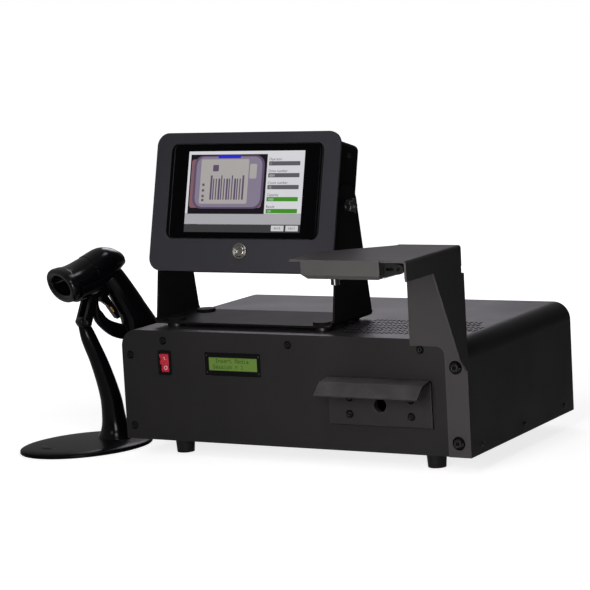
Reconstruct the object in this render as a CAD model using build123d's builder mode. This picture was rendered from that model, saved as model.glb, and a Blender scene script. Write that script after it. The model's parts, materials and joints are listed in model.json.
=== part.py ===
from build123d import *
from math import atan2, cos, degrees, hypot, radians, sin, sqrt
import os

os.makedirs("parts", exist_ok=True)

# A bench hard drive degausser with its touch screen, camera arm and hand scanner.
# Millimetres. +Z is up, -Y is the front with the drawer, X runs along the front.
# The origin lies on the table, under the middle of the whole set's bounding box.

# Cabinet
cab_w = 438.0  # front panel's width, a 17.25 inch rack body
cab_h = 126.5  # front panel's height
cab_d = 276.0  # front panel's face to the cover's rear edge
corner_r = 20.0  # bend of the cover's top edges, followed by the panel
panel_t = 3.0
sheet_t = 1.5
flange_w = 17.0  # cover's flange behind the front panel
lip_h = 19.0  # base pan's upturned edges
fit_gap = 0.3  # between separate sheet metal pieces
overrun = 5.0  # how far a cut runs past the metal

# Feet
foot_r = 11.5
foot_tip_r = 10.0
foot_h = 19.0
foot_x = 161.0  # from the cabinet's middle
foot_inset = 32.0  # from the front and rear edges
foot_bore_r = 5.0
foot_bore_depth = 9.0

# Screws: head radius, head height, shank radius and length
small_head_r = 3.4
small_head_h = 1.8
small_shank_r = 1.5
small_shank_l = 7.0
large_head_r = 6.3
large_head_h = 3.4
large_shank_r = 2.5
large_shank_l = 11.0
screw_play = 0.25  # radial room of a shank in its hole
dome_share = 0.6  # flat top of a head, as a share of its radius
socket_share = 0.45  # hexagon socket, as a share of the head's radius
panel_top_screw_x = 163.0
panel_top_screw_z = 115.0
panel_side_screw_x = 208.0
panel_side_screw_low = 15.5
panel_side_screw_high = 97.5
cover_screw_z = 10.0
cover_screw_inset = 26.0  # first and last, from the cover's ends

# Display window of the control panel
lcd_w = 72.3
lcd_h = 26.6
lcd_x = -72.1
lcd_z = 90.5
lcd_bezel_depth = 8.0
lcd_window_w = 63.0
lcd_window_h = 15.0
lcd_window_sink = 0.8
lcd_glass_t = 1.5
lcd_board_w = 80.0
lcd_board_h = 36.0
lcd_board_t = 1.6

# Rocker switch
rocker_x = -161.5
rocker_z = 90.0
rocker_bezel_w = 16.8
rocker_bezel_h = 28.2
rocker_bezel_t = 1.8
rocker_wall = 1.8
rocker_body_depth = 19.0
rocker_cavity_depth = 13.0
paddle_w = 11.6
paddle_h = 21.4
paddle_gap = 0.35
paddle_tilt = 9.0  # degrees, to either side of straight
paddle_pivot_depth = 3.6
paddle_front = 4.4  # pivot to the ends of the paddle's face
paddle_dish = 1.6  # how far the middle of its face lies back
paddle_drum_r = 5.0
paddle_pin_r = 1.4
paddle_pin_l = 1.3
pin_play = 0.06  # radial room of a pivot pin in its bore

# Drawer
drawer_x = 112.8
drawer_w = 125.0
drawer_low = 30.8
drawer_high = 82.0
drawer_t = 2.5
drawer_lap = 3.5  # plate past the panel's opening, all round
pull_ledge = 22.0  # the pull's upper slope, out from the plate
pull_ledge_drop = 3.0
pull_lip = 14.0  # its lower slope, further out and down
pull_lip_drop = 11.5
pull_bend_r = 2.5
drawer_screw_dx = 37.5
drawer_screw_low = 42.0
drawer_screw_high = 60.0
drawer_hole_r = 7.6
drawer_hole_z = 52.7
tray_w = 108.0
tray_low = 38.0
tray_h = 32.0
tray_wall = 2.0
tray_front_t = 6.0
tray_l = 195.0
tray_bay_l = 150.0  # room for a 3.5 inch drive
tray_rear_t = 3.0
runner_w = 3.0
runner_t = 3.0
runner_gap = 0.25
runner_z = 54.0
guide_w = 7.4
guide_h = 13.0
guide_groove = 3.6

# Coil round the drawer's tunnel
bobbin_front = 14.0
bobbin_l = 184.0
bobbin_wall = 4.0
bobbin_bore_low = 33.0
bobbin_bore_high = 80.0
cheek_t = 5.0
cheek_w = 13.0
winding_t = 10.0
winding_gap = 0.2

# Capacitor bank
cap_r = 25.5
cap_h = 98.0
cap_count = 3
cap_pitch = 56.0
cap_row_x = -180.0  # the bank's first can, from the cabinet's middle
cap_row_y = 196.0
cap_play = 0.3
cap_stud_r = 3.0
cap_stud_h = 8.0
cap_stud_share = 0.45  # terminals' place, as a share of the can's radius
clamp_t = 4.0
clamp_z = 62.0
clamp_margin = 7.0
clamp_leg = 8.0

# Charging transformer
core_w = 76.0
core_h = 64.0
core_t = 40.0
core_limb = 13.0
core_x = -128.0
core_y = 92.0
coil_gap = 0.4
lug_l = 14.0
lug_t = 4.0

# Control board
board_x = -4.0
board_y = 72.0
board_w = 66.0
board_l = 96.0
board_t = 1.6
board_standoff = 8.0
board_post_r = 3.0
board_post_inset = 5.0
board_part_h = 20.0  # its tallest component
board_parts_shares = [(-0.25, 0.3, 0.3, 0.16, 0.8), (0.22, 0.28, 0.28, 0.2, 0.6), (-0.2, -0.05, 0.36, 0.2, 0.25),
                      (0.25, -0.2, 0.2, 0.3, 1.0), (-0.2, -0.36, 0.4, 0.12, 0.45)]

# Pulse switch on its heat sink
sink_x = 0.0
sink_y = 206.0
sink_w = 60.0
sink_l = 70.0
sink_base = 8.0
sink_fin_t = 2.0
sink_fin_h = 34.0
sink_fins = 8
puck_r = 19.0
puck_h = 14.0

# Rear panel, fan, inlet and fuse
rear_t = 2.0
fan_x = -150.0
fan_z = 62.0
fan_size = 80.0
fan_depth = 25.0
fan_duct_r = 37.5
fan_hub_r = 16.0
fan_tip_gap = 1.2
fan_blades = 7
fan_blade_t = 2.0
fan_blade_share = 0.62  # blade depth, as a share of the frame's depth
fan_chord_share = 0.5  # blade chord, as a share of the rotor's radius
fan_blade_pitch = 38.0  # degrees
fan_hole_pitch = 71.5
fan_hole_r = 2.2
fan_shaft_r = 2.0
fan_strut_w = 5.0
fan_motor_t = 3.0
guard_t = 1.5
guard_ring_w = 2.2
guard_rings = 4
inlet_x = 60.0
inlet_z = 40.0
inlet_flange_w = 50.0
inlet_flange_h = 24.0
inlet_flange_t = 2.5
inlet_body_w = 27.6
inlet_body_h = 20.6
inlet_body_l = 22.0
inlet_recess_w = 24.4
inlet_recess_h = 17.0
inlet_recess_l = 17.0
inlet_pin_w = 2.0
inlet_pin_h = 4.0
inlet_pin_l = 14.0
inlet_pin_dx = 7.0
inlet_pin_drop = 2.4
inlet_earth_rise = 3.2
fuse_x = 118.0
fuse_z = 40.0
fuse_body_r = 6.4
fuse_body_l = 24.0
fuse_cap_r = 8.0
fuse_cap_l = 9.0

# Cooling slots in the cover's top
slot_w = 2.6
slot_pitch = 5.6
slot_front = 24.0
slot_l = 96.0
slot_rows = 6
slot_rib = 4.0
slot_left = 36.0
slot_right = 202.0
slot_slant = 0.5  # how far the pattern's ends step in, as a share of its depth

# Camera arm, one bent sheet
arm_t = 2.0
arm_h = 229.0  # shelf's top above the cabinet's underside
arm_strip_x = 192.6
arm_wide_x = 152.0
arm_step_z = 119.5
arm_step_r = 10.0
arm_reach = 133.0  # shelf's front edge, out from the front panel
arm_side_low = 92.0
arm_nose_drop = 21.0  # these drops are below the shelf's top
arm_nose_low = arm_h - arm_nose_drop
arm_fold_r = 3.0  # outside radius of its top fold
arm_slant_low_y = -18.0
arm_slant_low_z = 108.5
arm_slant_high_y = -72.0
arm_relief_drop = 22.0
arm_relief_h = 8.0
arm_relief_high = arm_h - arm_relief_drop
arm_relief_low = arm_relief_high - arm_relief_h
arm_relief_y = 6.0
arm_plate_trim = 8.0  # the front plate keeps clear of the bend above its relief
arm_shelf_left = 85.0
arm_shelf_rear = 5.0
arm_shelf_notch_x = 147.0
arm_shelf_notch_y = -12.0
arm_shelf_corner_y = -72.0
arm_lip_left = 105.5
arm_lip_right = 189.6
arm_lip_drop = 15.7
arm_lip_low = arm_h - arm_lip_drop
arm_screw_x = 205.0
arm_screw_low = 15.5
arm_screw_high = 97.5

# Camera and its light under the shelf
cam_left = 97.5
cam_right = 189.0
cam_front = -132.6
cam_rear = -58.0
cam_h = 18.4
cam_low = arm_h - arm_t - cam_h
cam_chamfer = 5.0
lens_x = 111.5
lens_y = -86.0
lens_r = 4.5
lens_l = 12.0
lens_rim = 1.2
lens_flange_r = 8.0
lens_flange_t = 2.0
light_w = 62.0
light_l = 46.0
light_t = 2.0
light_x = 155.0
tab_t = 3.0
tab_y = -126.0
tab_end_x = 207.0
tab_end_drop = 9.5
tab_end_z = arm_h - tab_end_drop
tab_end_r = 5.2
tab_root_drop = 3.0
tab_root_h = 15.0
tab_root_high = arm_h - tab_root_drop
tab_root_low = tab_root_high - tab_root_h
tab_eye_r = 2.2
tab_slot_w = 3.0
tab_slot_l = 9.0
tab_slot_x = 197.0
block_w = 8.0
block_l = 24.0
block_h = 18.0
block_front = -118.0
standoff_r = 2.4
standoff_l = 3.0

# Touch screen unit
display_x = -69.0  # screen's middle, from the cabinet's middle
yoke_x = -71.5  # yoke's middle
yoke_y = 71.5  # from the front panel's face
box_w = 213.0
box_side_clear = 7.5  # from the yoke's uprights, on average
yoke_l = 96.0
yoke_t = 2.0
yoke_w = box_w + 2 * (box_side_clear + yoke_t)
yoke_bend_r = 4.0
bumper_r = 10.0
bumper_h = 4.5
disc_r = 11.0
disc_h = 3.2
disc_inset_x = 20.0
disc_inset_y = 15.0
disc_shank_r = 2.5
pivot_z = 260.6  # above the cabinet's underside
pivot_top_r = 24.0
upright_front_low = 43.0  # front edge from the pivot, at the base
upright_rear_low = 47.0
screen_tilt = 14.6  # degrees, leaning back
plate_side_over = 12.75  # past the box behind it
plate_w = box_w + 2 * plate_side_over
plate_h = 158.0
plate_r = 15.0
plate_t = 3.0
plate_front = 34.5  # plate's face in front of the pivot
box_h = 147.0
box_d = 62.0
box_r = 8.0
box_wall = 2.0
glass_w = 189.0
glass_h = 107.0
glass_r = 6.0
glass_t = 1.8
glass_rise = 12.0  # glass's middle above the plate's middle
screen_w = 166.0
screen_h = 98.0
screen_t = 5.0
button_drop = 67.7  # push button below the glass's middle
button_ring_r = 9.6
button_ring_h = 1.6
button_thread_r = 7.9
button_thread_l = 20.0
button_nut_r = 10.5
button_nut_t = 3.0
button_cap_r = 6.4
button_cap_l = 6.0
button_rise = 1.2
button_travel = 1.2
button_play = 0.08
unit_board_w = 120.0
unit_board_h = 70.0
unit_board_gap = 10.0
unit_part_h = 16.0
unit_parts_shares = [(-0.3, 0.25, 0.2, 0.24, 1.0), (0.05, 0.0, 0.2, 0.34, 0.4), (0.32, -0.2, 0.22, 0.3, 0.8)]
boss_r = 11.0
boss_gap = 0.3
knob_r = 9.0
knob_h = 9.0
knob_lobes = 5
knob_lobe_r = 3.0
knob_flange_r = 7.5
knob_flange_h = 2.5
knob_shank_r = 3.0
knob_shank_l = 16.0
box_screw_up = 58.0
box_screw_back = 44.0  # behind the plate
vent_w = 2.4
vent_l = 60.0
vent_pitch = 7.0
vent_count = 7

# Hand scanner and its stand
stand_x = -291.0  # from the cabinet's middle
stand_y = 28.0
stand_facing = 60.0  # degrees from -X towards -Y
base_ahead = 5.0  # oval base's middle, ahead of the neck's
base_a = 81.0  # oval base's long and short half widths
base_b = 63.0
base_t = 7.0
base_edge = 2.5  # bevel round its top
neck_back = 34.0
neck_foot_half_l = 21.5
neck_foot_half_w = 23.5
neck_top_half_l = 6.5
neck_top_half_w = 6.5
neck_top = 146.0
neck_shares = [(0.0, 1.0, 1.0, 1.0), (0.06, 0.99, 0.68, 0.675), (0.165, 0.96, 0.49, 0.48), (0.353, 0.88, 0.38, 0.377),
               (0.633, 0.57, 0.29, 0.234), (0.849, 0.24, 0.22, 0.17), (0.95, 0.11, 0.12, 0.02), (1.0, 0.044, 0.0, 0.0)]
hinge_along = -1.5
hinge_z = 147.0
knuckle_r = 7.0
knuckle_w = 14.0
hinge_pin_r = 2.5
ear_t = 5.0
ear_gap = 0.3
ear_r = 5.0
ear_top_along = -14.0  # where the ears meet the trough
ear_top_z = 182.0
pin_head_r = 4.5
pin_head_t = 2.5
cup_wall = 3.0
cup_gap = 0.4
cup_l = 30.0
cup_start = 8.0
cup_rim_drop = 2.0  # the trough's rims below the head's widest line
cup_cut = 100.0
cup_slot_start = -12.0  # slot for the scanner's guard, open to the rear
cup_slot_l = 20.0
head_tilt = 15.0  # degrees, nose down
mouth_along = 22.5
mouth_z = 193.5
mouth_half_w = 34.0
mouth_half_h = 20.5
nose_l = 4.0
nose_wall = 8.5
mouth_depth = 12.0
window_t = 1.5
head_back = 80.0
head_shares = [(0.0, 1.0, 1.0, 0.0), (0.2, 0.9, 0.93, -0.01), (0.45, 0.8, 0.95, 0.08), (0.72, 0.68, 0.92, 0.24),
               (0.9, 0.52, 0.66, 0.24), (1.0, 0.34, 0.4, 0.14)]
handle_shares = [(0.0, 0.84, 0.84), (0.3, 0.94, 0.94), (0.7, 1.0, 1.0), (1.0, 0.92, 0.9)]
handle_half_w = 17.0
handle_half_t = 17.0
handle_top_along = -43.0
handle_top_z = 195.0
handle_end_along = -99.0
handle_end_z = 101.0
guard_half_w = 6.0
loop_l = 50.0  # guard and trigger outlines, from the trigger's pivot, are shares of this
guard_outer_shares = [(0.24, 0.37), (0.24, -0.13), (0.23, -0.43), (0.08, -0.67), (-0.26, -0.94), (-0.82, -1.09)]
guard_inner_shares = [(0.12, 0.37), (0.12, -0.13), (0.02, -0.31), (-0.12, -0.48), (-0.36, -0.6), (-0.7, -0.7)]
trigger_half_w = 5.0
trigger_along = -27.0
trigger_z = 171.5
trigger_boss_r = 3.6
trigger_lug_t = 2.0
lug_rise = 24.0
lug_lean = 10.0  # how far a lug's top lies behind the pivot
trigger_outline_shares = [(0.05, -0.03), (-0.12, -0.17), (-0.24, -0.36), (-0.33, -0.5), (-0.4, -0.47), (-0.33, -0.27),
                          (-0.13, 0.05)]
trigger_pin_r = 1.2
trigger_gap = 0.4

# Extents of the set, which place the cabinet about the origin
facing = radians(stand_facing)
base_reach = hypot(base_a * cos(facing), base_b * sin(facing))
set_left = stand_x - base_ahead * cos(facing) - base_reach
set_right = cab_w / 2 + small_head_h
set_front = -arm_reach - arm_t
set_rear = cab_d + fuse_cap_l
cab_x = -(set_left + set_right) / 2
front_y = -(set_front + set_rear) / 2


def front_at(depth):
    """Plane facing the front, that deep behind the front panel's face."""
    return Plane(origin=(cab_x, front_y + depth, foot_h), x_dir=(1, 0, 0), z_dir=(0, -1, 0))


def level_at(height):
    """Level plane at a height above the cabinet's underside, with y from the front panel."""
    return Plane(origin=(cab_x, front_y, foot_h + height))


def side_at(offset):
    """Plane facing +X, with the distance behind the front panel and the height as its axes."""
    return Plane(origin=(cab_x + offset, front_y, foot_h), x_dir=(0, 1, 0), z_dir=(1, 0, 0))


def spots(plane, points):
    """Locations on a plane, one for each pair of its coordinates."""
    return [plane.location * Location((across, up, 0)) for across, up in points]


def cabinet_outline(inset, bottom):
    """Cabinet's front outline, drawn in and cut off at a height."""
    half = cab_w / 2 - inset
    top = cab_h - inset
    with BuildSketch() as outline:
        with BuildLine():
            FilletPolyline((-half, bottom), (-half, top), (half, top), (half, bottom), radius=corner_r - inset)
            Line((half, bottom), (-half, bottom))
        make_face()
    return outline.sketch


def domed_screw(head_r, head_h, shank_r, shank_l):
    """Domed screw with a hexagon socket, its head standing on the origin's plane."""
    with BuildPart() as screw:
        Cone(head_r, head_r * dome_share, head_h, align=(Align.CENTER, Align.CENTER, Align.MIN))
        Cylinder(shank_r, shank_l, align=(Align.CENTER, Align.CENTER, Align.MAX))
        with BuildSketch(Plane.XY.offset(head_h)):
            RegularPolygon(head_r * socket_share, 6)
        extrude(amount=-head_h * dome_share, mode=Mode.SUBTRACT)
    return screw.part


small_screw = domed_screw(small_head_r, small_head_h, small_shank_r, small_shank_l)
large_screw = domed_screw(large_head_r, large_head_h, large_shank_r, large_shank_l)

# Screw places on the front panel and the cover
panel_screw_points = [(x, panel_top_screw_z) for x in (-panel_top_screw_x, 0, panel_top_screw_x)]
panel_screw_points += [(-panel_side_screw_x, z) for z in (panel_side_screw_low, panel_side_screw_high)]
arm_screw_points = [(arm_screw_x, z) for z in (arm_screw_low, arm_screw_high)]
cover_screw_ys = (cover_screw_inset, cab_d / 2, cab_d - cover_screw_inset)
cover_screw_points = [(y, cover_screw_z) for y in cover_screw_ys]
small_hole_r = small_shank_r + screw_play
large_hole_r = large_shank_r + screw_play
drawer_screw_points = [(drawer_x + dx, z) for dx in (-drawer_screw_dx, drawer_screw_dx)
                       for z in (drawer_screw_low, drawer_screw_high)]
drawer_mid = (drawer_low + drawer_high) / 2

# Base pan: floor with four upturned edges
pan_half = cab_w / 2 - sheet_t - fit_gap
pan_rear = cab_d - rear_t
with BuildPart() as base_pan:
    with BuildSketch(front_at(panel_t)):
        Rectangle(2 * pan_half, lip_h, align=(Align.CENTER, Align.MIN))
        with Locations((0, sheet_t)):
            Rectangle(2 * (pan_half - sheet_t), lip_h, align=(Align.CENTER, Align.MIN), mode=Mode.SUBTRACT)
    extrude(amount=-(pan_rear - panel_t))
    with BuildSketch(front_at(panel_t)):
        Rectangle(2 * pan_half, lip_h, align=(Align.CENTER, Align.MIN))
    extrude(amount=-sheet_t)
    with BuildSketch(side_at(-cab_w / 2 - overrun)):
        with Locations(*cover_screw_points):
            Circle(small_hole_r)
    extrude(amount=cab_w + 2 * overrun, mode=Mode.SUBTRACT)
    with BuildSketch(front_at(0)):
        with Locations((-panel_side_screw_x, panel_side_screw_low)):
            Circle(small_hole_r)
        with Locations((arm_screw_x, arm_screw_low)):
            Circle(large_hole_r)
    extrude(amount=-(panel_t + 2 * sheet_t), mode=Mode.SUBTRACT)
base_pan.part.label = "base_pan"
export_step(base_pan.part, "parts/base_pan.step")

# Cover: top and sides in one wrap, a flange behind the front panel, cooling slots
flange_low = lip_h + fit_gap
slot_columns = int((slot_right - slot_left) / slot_pitch) + 1
slot_cell = slot_l / slot_rows
slot_places = []
for column in range(slot_columns):
    slot_x = slot_left + column * slot_pitch
    from_end = min(column, slot_columns - 1 - column) * slot_pitch
    for row in range(slot_rows):
        slot_y = slot_front + (row + 0.5) * slot_cell
        from_row = abs(row - (slot_rows - 1) / 2) * slot_cell
        if from_end >= from_row * slot_slant - slot_pitch:
            slot_places.append((slot_x, slot_y))
with BuildPart() as cover:
    with BuildSketch(front_at(panel_t)):
        add(cabinet_outline(0, 0))
        add(cabinet_outline(sheet_t, 0), mode=Mode.SUBTRACT)
    extrude(amount=-(cab_d - panel_t))
    with BuildSketch(front_at(panel_t)):
        add(cabinet_outline(sheet_t / 2, flange_low))
        add(cabinet_outline(flange_w, flange_low), mode=Mode.SUBTRACT)
    extrude(amount=-sheet_t)
    with BuildSketch(level_at(cab_h + overrun)):
        with Locations(*slot_places):
            Rectangle(slot_w, slot_cell - slot_rib)
    extrude(amount=-(2 * overrun), mode=Mode.SUBTRACT)
    with BuildSketch(side_at(-cab_w / 2 - overrun)):
        with Locations(*cover_screw_points):
            Circle(small_hole_r)
    extrude(amount=cab_w + 2 * overrun, mode=Mode.SUBTRACT)
    with BuildSketch(front_at(0)):
        with Locations(*panel_screw_points):
            Circle(small_hole_r)
        with Locations(*arm_screw_points):
            Circle(large_hole_r)
    extrude(amount=-(panel_t + 2 * sheet_t), mode=Mode.SUBTRACT)
cover.part.label = "cover"
export_step(cover.part, "parts/cover.step")

# Front panel with its openings
with BuildPart() as front_panel:
    with BuildSketch(front_at(0)):
        add(cabinet_outline(0, 0))
        with Locations((lcd_x, lcd_z)):
            Rectangle(lcd_w + fit_gap, lcd_h + fit_gap, mode=Mode.SUBTRACT)
        with Locations((rocker_x, rocker_z)):
            Rectangle(
                rocker_bezel_w - 2 * rocker_wall + fit_gap,
                rocker_bezel_h - 2 * rocker_wall + fit_gap,
                mode=Mode.SUBTRACT,
            )
        with Locations((drawer_x, drawer_mid)):
            Rectangle(drawer_w - 2 * drawer_lap, drawer_high - drawer_low - 2 * drawer_lap, mode=Mode.SUBTRACT)
        with Locations(*panel_screw_points):
            Circle(small_hole_r, mode=Mode.SUBTRACT)
        with Locations(*arm_screw_points):
            Circle(large_hole_r, mode=Mode.SUBTRACT)
    extrude(amount=-panel_t)
front_panel.part.label = "front_panel"
export_step(front_panel.part, "parts/front_panel.step")

# Rear panel inside the cover's end
fan_half_pitch = fan_hole_pitch / 2
fan_corners = [(fan_x + dx, fan_z + dz) for dx in (-fan_half_pitch, fan_half_pitch)
               for dz in (-fan_half_pitch, fan_half_pitch)]
with BuildPart() as rear_panel:
    with BuildSketch(front_at(cab_d - rear_t)):
        add(cabinet_outline(sheet_t + fit_gap, 0))
        with Locations((fan_x, fan_z)):
            Circle(fan_duct_r, mode=Mode.SUBTRACT)
        with Locations(*fan_corners):
            Circle(fan_hole_r, mode=Mode.SUBTRACT)
        with Locations((inlet_x, inlet_z)):
            Rectangle(inlet_body_w + fit_gap, inlet_body_h + fit_gap, mode=Mode.SUBTRACT)
        with Locations((fuse_x, fuse_z)):
            Circle(fuse_body_r + fit_gap, mode=Mode.SUBTRACT)
    extrude(amount=-rear_t)
rear_panel.part.label = "rear_panel"
export_step(rear_panel.part, "parts/rear_panel.step")

# Four rubber feet
foot_places = {
    "foot_front_left": (-foot_x, foot_inset),
    "foot_front_right": (foot_x, foot_inset),
    "foot_rear_left": (-foot_x, cab_d - foot_inset),
    "foot_rear_right": (foot_x, cab_d - foot_inset),
}
for foot_name, foot_place in foot_places.items():
    with BuildPart() as foot:
        with BuildSketch(level_at(0)):
            with Locations(foot_place):
                Circle(foot_r)
        with BuildSketch(level_at(-foot_h)):
            with Locations(foot_place):
                Circle(foot_tip_r)
        loft()
        with BuildSketch(level_at(-foot_h)):
            with Locations(foot_place):
                Circle(foot_bore_r)
        extrude(amount=foot_bore_depth, mode=Mode.SUBTRACT)
    foot.part.label = foot_name
    export_step(foot.part, f"parts/{foot_name}.step")

# Small screws of the front panel
with BuildPart() as panel_screws:
    with Locations(*spots(front_at(0), panel_screw_points)):
        add(small_screw)
panel_screws.part.label = "panel_screws"
export_step(panel_screws.part, "parts/panel_screws.step")

# Screws along both lower edges of the cover
right_face = side_at(cab_w / 2)
left_face = Plane(origin=(cab_x - cab_w / 2, front_y, foot_h), x_dir=(0, -1, 0), z_dir=(-1, 0, 0))
with BuildPart() as cover_screws:
    with Locations(*spots(right_face, cover_screw_points)):
        add(small_screw)
    with Locations(*spots(left_face, [(-y, z) for y, z in cover_screw_points])):
        add(small_screw)
cover_screws.part.label = "cover_screws"
export_step(cover_screws.part, "parts/cover_screws.step")

# Character display: black bezel with its circuit board behind
with BuildPart() as lcd_module:
    with BuildSketch(front_at(0)):
        with Locations((lcd_x, lcd_z)):
            Rectangle(lcd_w, lcd_h)
    extrude(amount=-lcd_bezel_depth)
    with BuildSketch(front_at(0)):
        with Locations((lcd_x, lcd_z)):
            Rectangle(lcd_window_w, lcd_window_h)
    extrude(amount=-(lcd_window_sink + lcd_glass_t), mode=Mode.SUBTRACT)
    with BuildSketch(front_at(lcd_bezel_depth)):
        with Locations((lcd_x, lcd_z)):
            Rectangle(lcd_board_w, lcd_board_h)
    extrude(amount=-lcd_board_t)
lcd_module.part.label = "lcd_module"
export_step(lcd_module.part, "parts/lcd_module.step")

with BuildPart() as lcd_window:
    with BuildSketch(front_at(lcd_window_sink)):
        with Locations((lcd_x, lcd_z)):
            Rectangle(lcd_window_w - fit_gap, lcd_window_h - fit_gap)
    extrude(amount=-lcd_glass_t)
lcd_window.part.label = "lcd_window"
export_step(lcd_window.part, "parts/lcd_window.step")

# Rocker switch: snap-in housing and paddle on two side pins
rocker_body_w = rocker_bezel_w - 2 * rocker_wall
rocker_body_h = rocker_bezel_h - 2 * rocker_wall
rocker_pivot = (paddle_pivot_depth, rocker_z)
with BuildPart() as switch_housing:
    with BuildSketch(front_at(0)):
        with Locations((rocker_x, rocker_z)):
            RectangleRounded(rocker_bezel_w, rocker_bezel_h, rocker_wall)
    extrude(amount=rocker_bezel_t)
    with BuildSketch(front_at(0)):
        with Locations((rocker_x, rocker_z)):
            Rectangle(rocker_body_w, rocker_body_h)
    extrude(amount=-rocker_body_depth)
    with BuildSketch(front_at(-rocker_bezel_t)):
        with Locations((rocker_x, rocker_z)):
            Rectangle(paddle_w + 2 * paddle_gap, paddle_h + 2 * paddle_gap)
    extrude(amount=-(rocker_bezel_t + rocker_cavity_depth), mode=Mode.SUBTRACT)
    with BuildSketch(side_at(rocker_x - paddle_w / 2 - paddle_pin_l)):
        with Locations(rocker_pivot):
            Circle(paddle_pin_r + pin_play)
    extrude(amount=paddle_w + 2 * paddle_pin_l, mode=Mode.SUBTRACT)
switch_housing.part.label = "switch_housing"
export_step(switch_housing.part, "parts/switch_housing.step")

paddle_angle = radians(paddle_tilt)
rocker_axis = Plane(
    origin=(cab_x + rocker_x, front_y + paddle_pivot_depth, foot_h + rocker_z),
    x_dir=(0, cos(paddle_angle), sin(paddle_angle)),
    z_dir=(1, 0, 0),
)
paddle_half = paddle_h / 2 - paddle_gap
with BuildPart() as rocker_paddle:
    with BuildSketch(rocker_axis.offset(-paddle_w / 2)):
        with BuildLine():
            Polyline(
                (0, paddle_half),
                (-paddle_front, paddle_half),
                (-paddle_front + paddle_dish, 0),
                (-paddle_front, -paddle_half),
                (0, -paddle_half),
                close=True,
            )
        make_face()
        Circle(paddle_drum_r)
    extrude(amount=paddle_w)
    with BuildSketch(rocker_axis.offset(-paddle_w / 2 - paddle_pin_l + paddle_gap)):
        Circle(paddle_pin_r)
    extrude(amount=paddle_w + 2 * (paddle_pin_l - paddle_gap))
rocker_paddle.part.label = "rocker_paddle"
export_step(rocker_paddle.part, "parts/rocker_paddle.step")

# Drawer front: plate and overhanging pull in one bent sheet
pull_root = drawer_high
pull_edge_y = -fit_gap - pull_ledge
pull_edge_z = drawer_high - pull_ledge_drop
pull_tip_y = pull_edge_y - pull_lip
pull_tip_z = pull_edge_z - pull_lip_drop
drawer_back = -fit_gap - drawer_t / 2
with BuildPart() as drawer_front:
    with BuildSketch(side_at(drawer_x - drawer_w / 2)):
        with BuildLine() as pull_line:
            FilletPolyline(
                (drawer_back, drawer_low),
                (drawer_back, pull_root),
                (pull_edge_y, pull_edge_z),
                (pull_tip_y, pull_tip_z),
                radius=pull_bend_r + drawer_t / 2,
            )
            offset(amount=drawer_t / 2, kind=Kind.INTERSECTION, side=Side.BOTH)
        make_face()
    extrude(amount=drawer_w)
    with BuildSketch(front_at(-drawer_t - fit_gap - overrun)):
        with Locations((drawer_x, drawer_hole_z)):
            Circle(drawer_hole_r)
        with Locations(*drawer_screw_points):
            Circle(small_hole_r)
    extrude(amount=-(drawer_t + 2 * overrun), mode=Mode.SUBTRACT)
drawer_front.part.label = "drawer_front"
export_step(drawer_front.part, "parts/drawer_front.step")

# Drawer tray: front block, bay for the drive, runners on both sides
tray_front = -fit_gap
tray_plan = level_at(tray_low)
bay_start = tray_front + tray_front_t
with BuildPart() as drawer_tray:
    with BuildSketch(tray_plan):
        with Locations((drawer_x, tray_front)):
            Rectangle(tray_w, tray_l, align=(Align.CENTER, Align.MIN))
    extrude(amount=tray_h)
    with BuildSketch(level_at(tray_low + tray_wall)):
        with Locations((drawer_x, bay_start)):
            Rectangle(tray_w - 2 * tray_wall, tray_bay_l, align=(Align.CENTER, Align.MIN))
        with Locations((drawer_x, bay_start + tray_bay_l + tray_rear_t)):
            Rectangle(
                tray_w - 2 * tray_wall,
                tray_l - tray_front_t - tray_bay_l - 2 * tray_rear_t,
                align=(Align.CENTER, Align.MIN),
            )
    extrude(amount=tray_h, mode=Mode.SUBTRACT)
    with BuildSketch(front_at(tray_front + tray_front_t)):
        with Locations((drawer_x, runner_z)):
            Rectangle(tray_w + 2 * runner_w, runner_t)
            Rectangle(tray_w - tray_wall, runner_t, mode=Mode.SUBTRACT)
    extrude(amount=-(tray_l - tray_front_t))
    with BuildSketch(front_at(tray_front)):
        with Locations((drawer_x, drawer_hole_z)):
            Circle(drawer_hole_r)
        with Locations(*drawer_screw_points):
            Circle(small_hole_r)
    extrude(amount=-tray_front_t, mode=Mode.SUBTRACT)
drawer_tray.part.label = "drawer_tray"
export_step(drawer_tray.part, "parts/drawer_tray.step")

with BuildPart() as drawer_screws:
    with Locations(*spots(front_at(-fit_gap - drawer_t), drawer_screw_points)):
        add(small_screw)
drawer_screws.part.label = "drawer_screws"
export_step(drawer_screws.part, "parts/drawer_screws.step")

# Coil bobbin round the drawer's tunnel, standing on its two cheeks
tunnel_w = tray_w + 2 * guide_w + 2 * runner_gap
bobbin_mid = (bobbin_bore_low + bobbin_bore_high) / 2
bobbin_bore_h = bobbin_bore_high - bobbin_bore_low
cheek_top = bobbin_bore_high + bobbin_wall + cheek_w
with BuildPart() as coil_bobbin:
    with BuildSketch(front_at(bobbin_front)):
        with Locations((drawer_x, bobbin_mid)):
            Rectangle(tunnel_w + 2 * bobbin_wall, bobbin_bore_h + 2 * bobbin_wall)
    extrude(amount=-bobbin_l)
    with BuildSketch(front_at(bobbin_front), front_at(bobbin_front + bobbin_l - cheek_t)):
        with Locations((drawer_x, sheet_t)):
            Rectangle(tunnel_w + 2 * (bobbin_wall + cheek_w), cheek_top - sheet_t, align=(Align.CENTER, Align.MIN))
    extrude(amount=-cheek_t)
    with BuildSketch(front_at(bobbin_front)):
        with Locations((drawer_x, bobbin_mid)):
            Rectangle(tunnel_w, bobbin_bore_h)
    extrude(amount=-bobbin_l, mode=Mode.SUBTRACT)
coil_bobbin.part.label = "coil_bobbin"
export_step(coil_bobbin.part, "parts/coil_bobbin.step")

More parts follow.
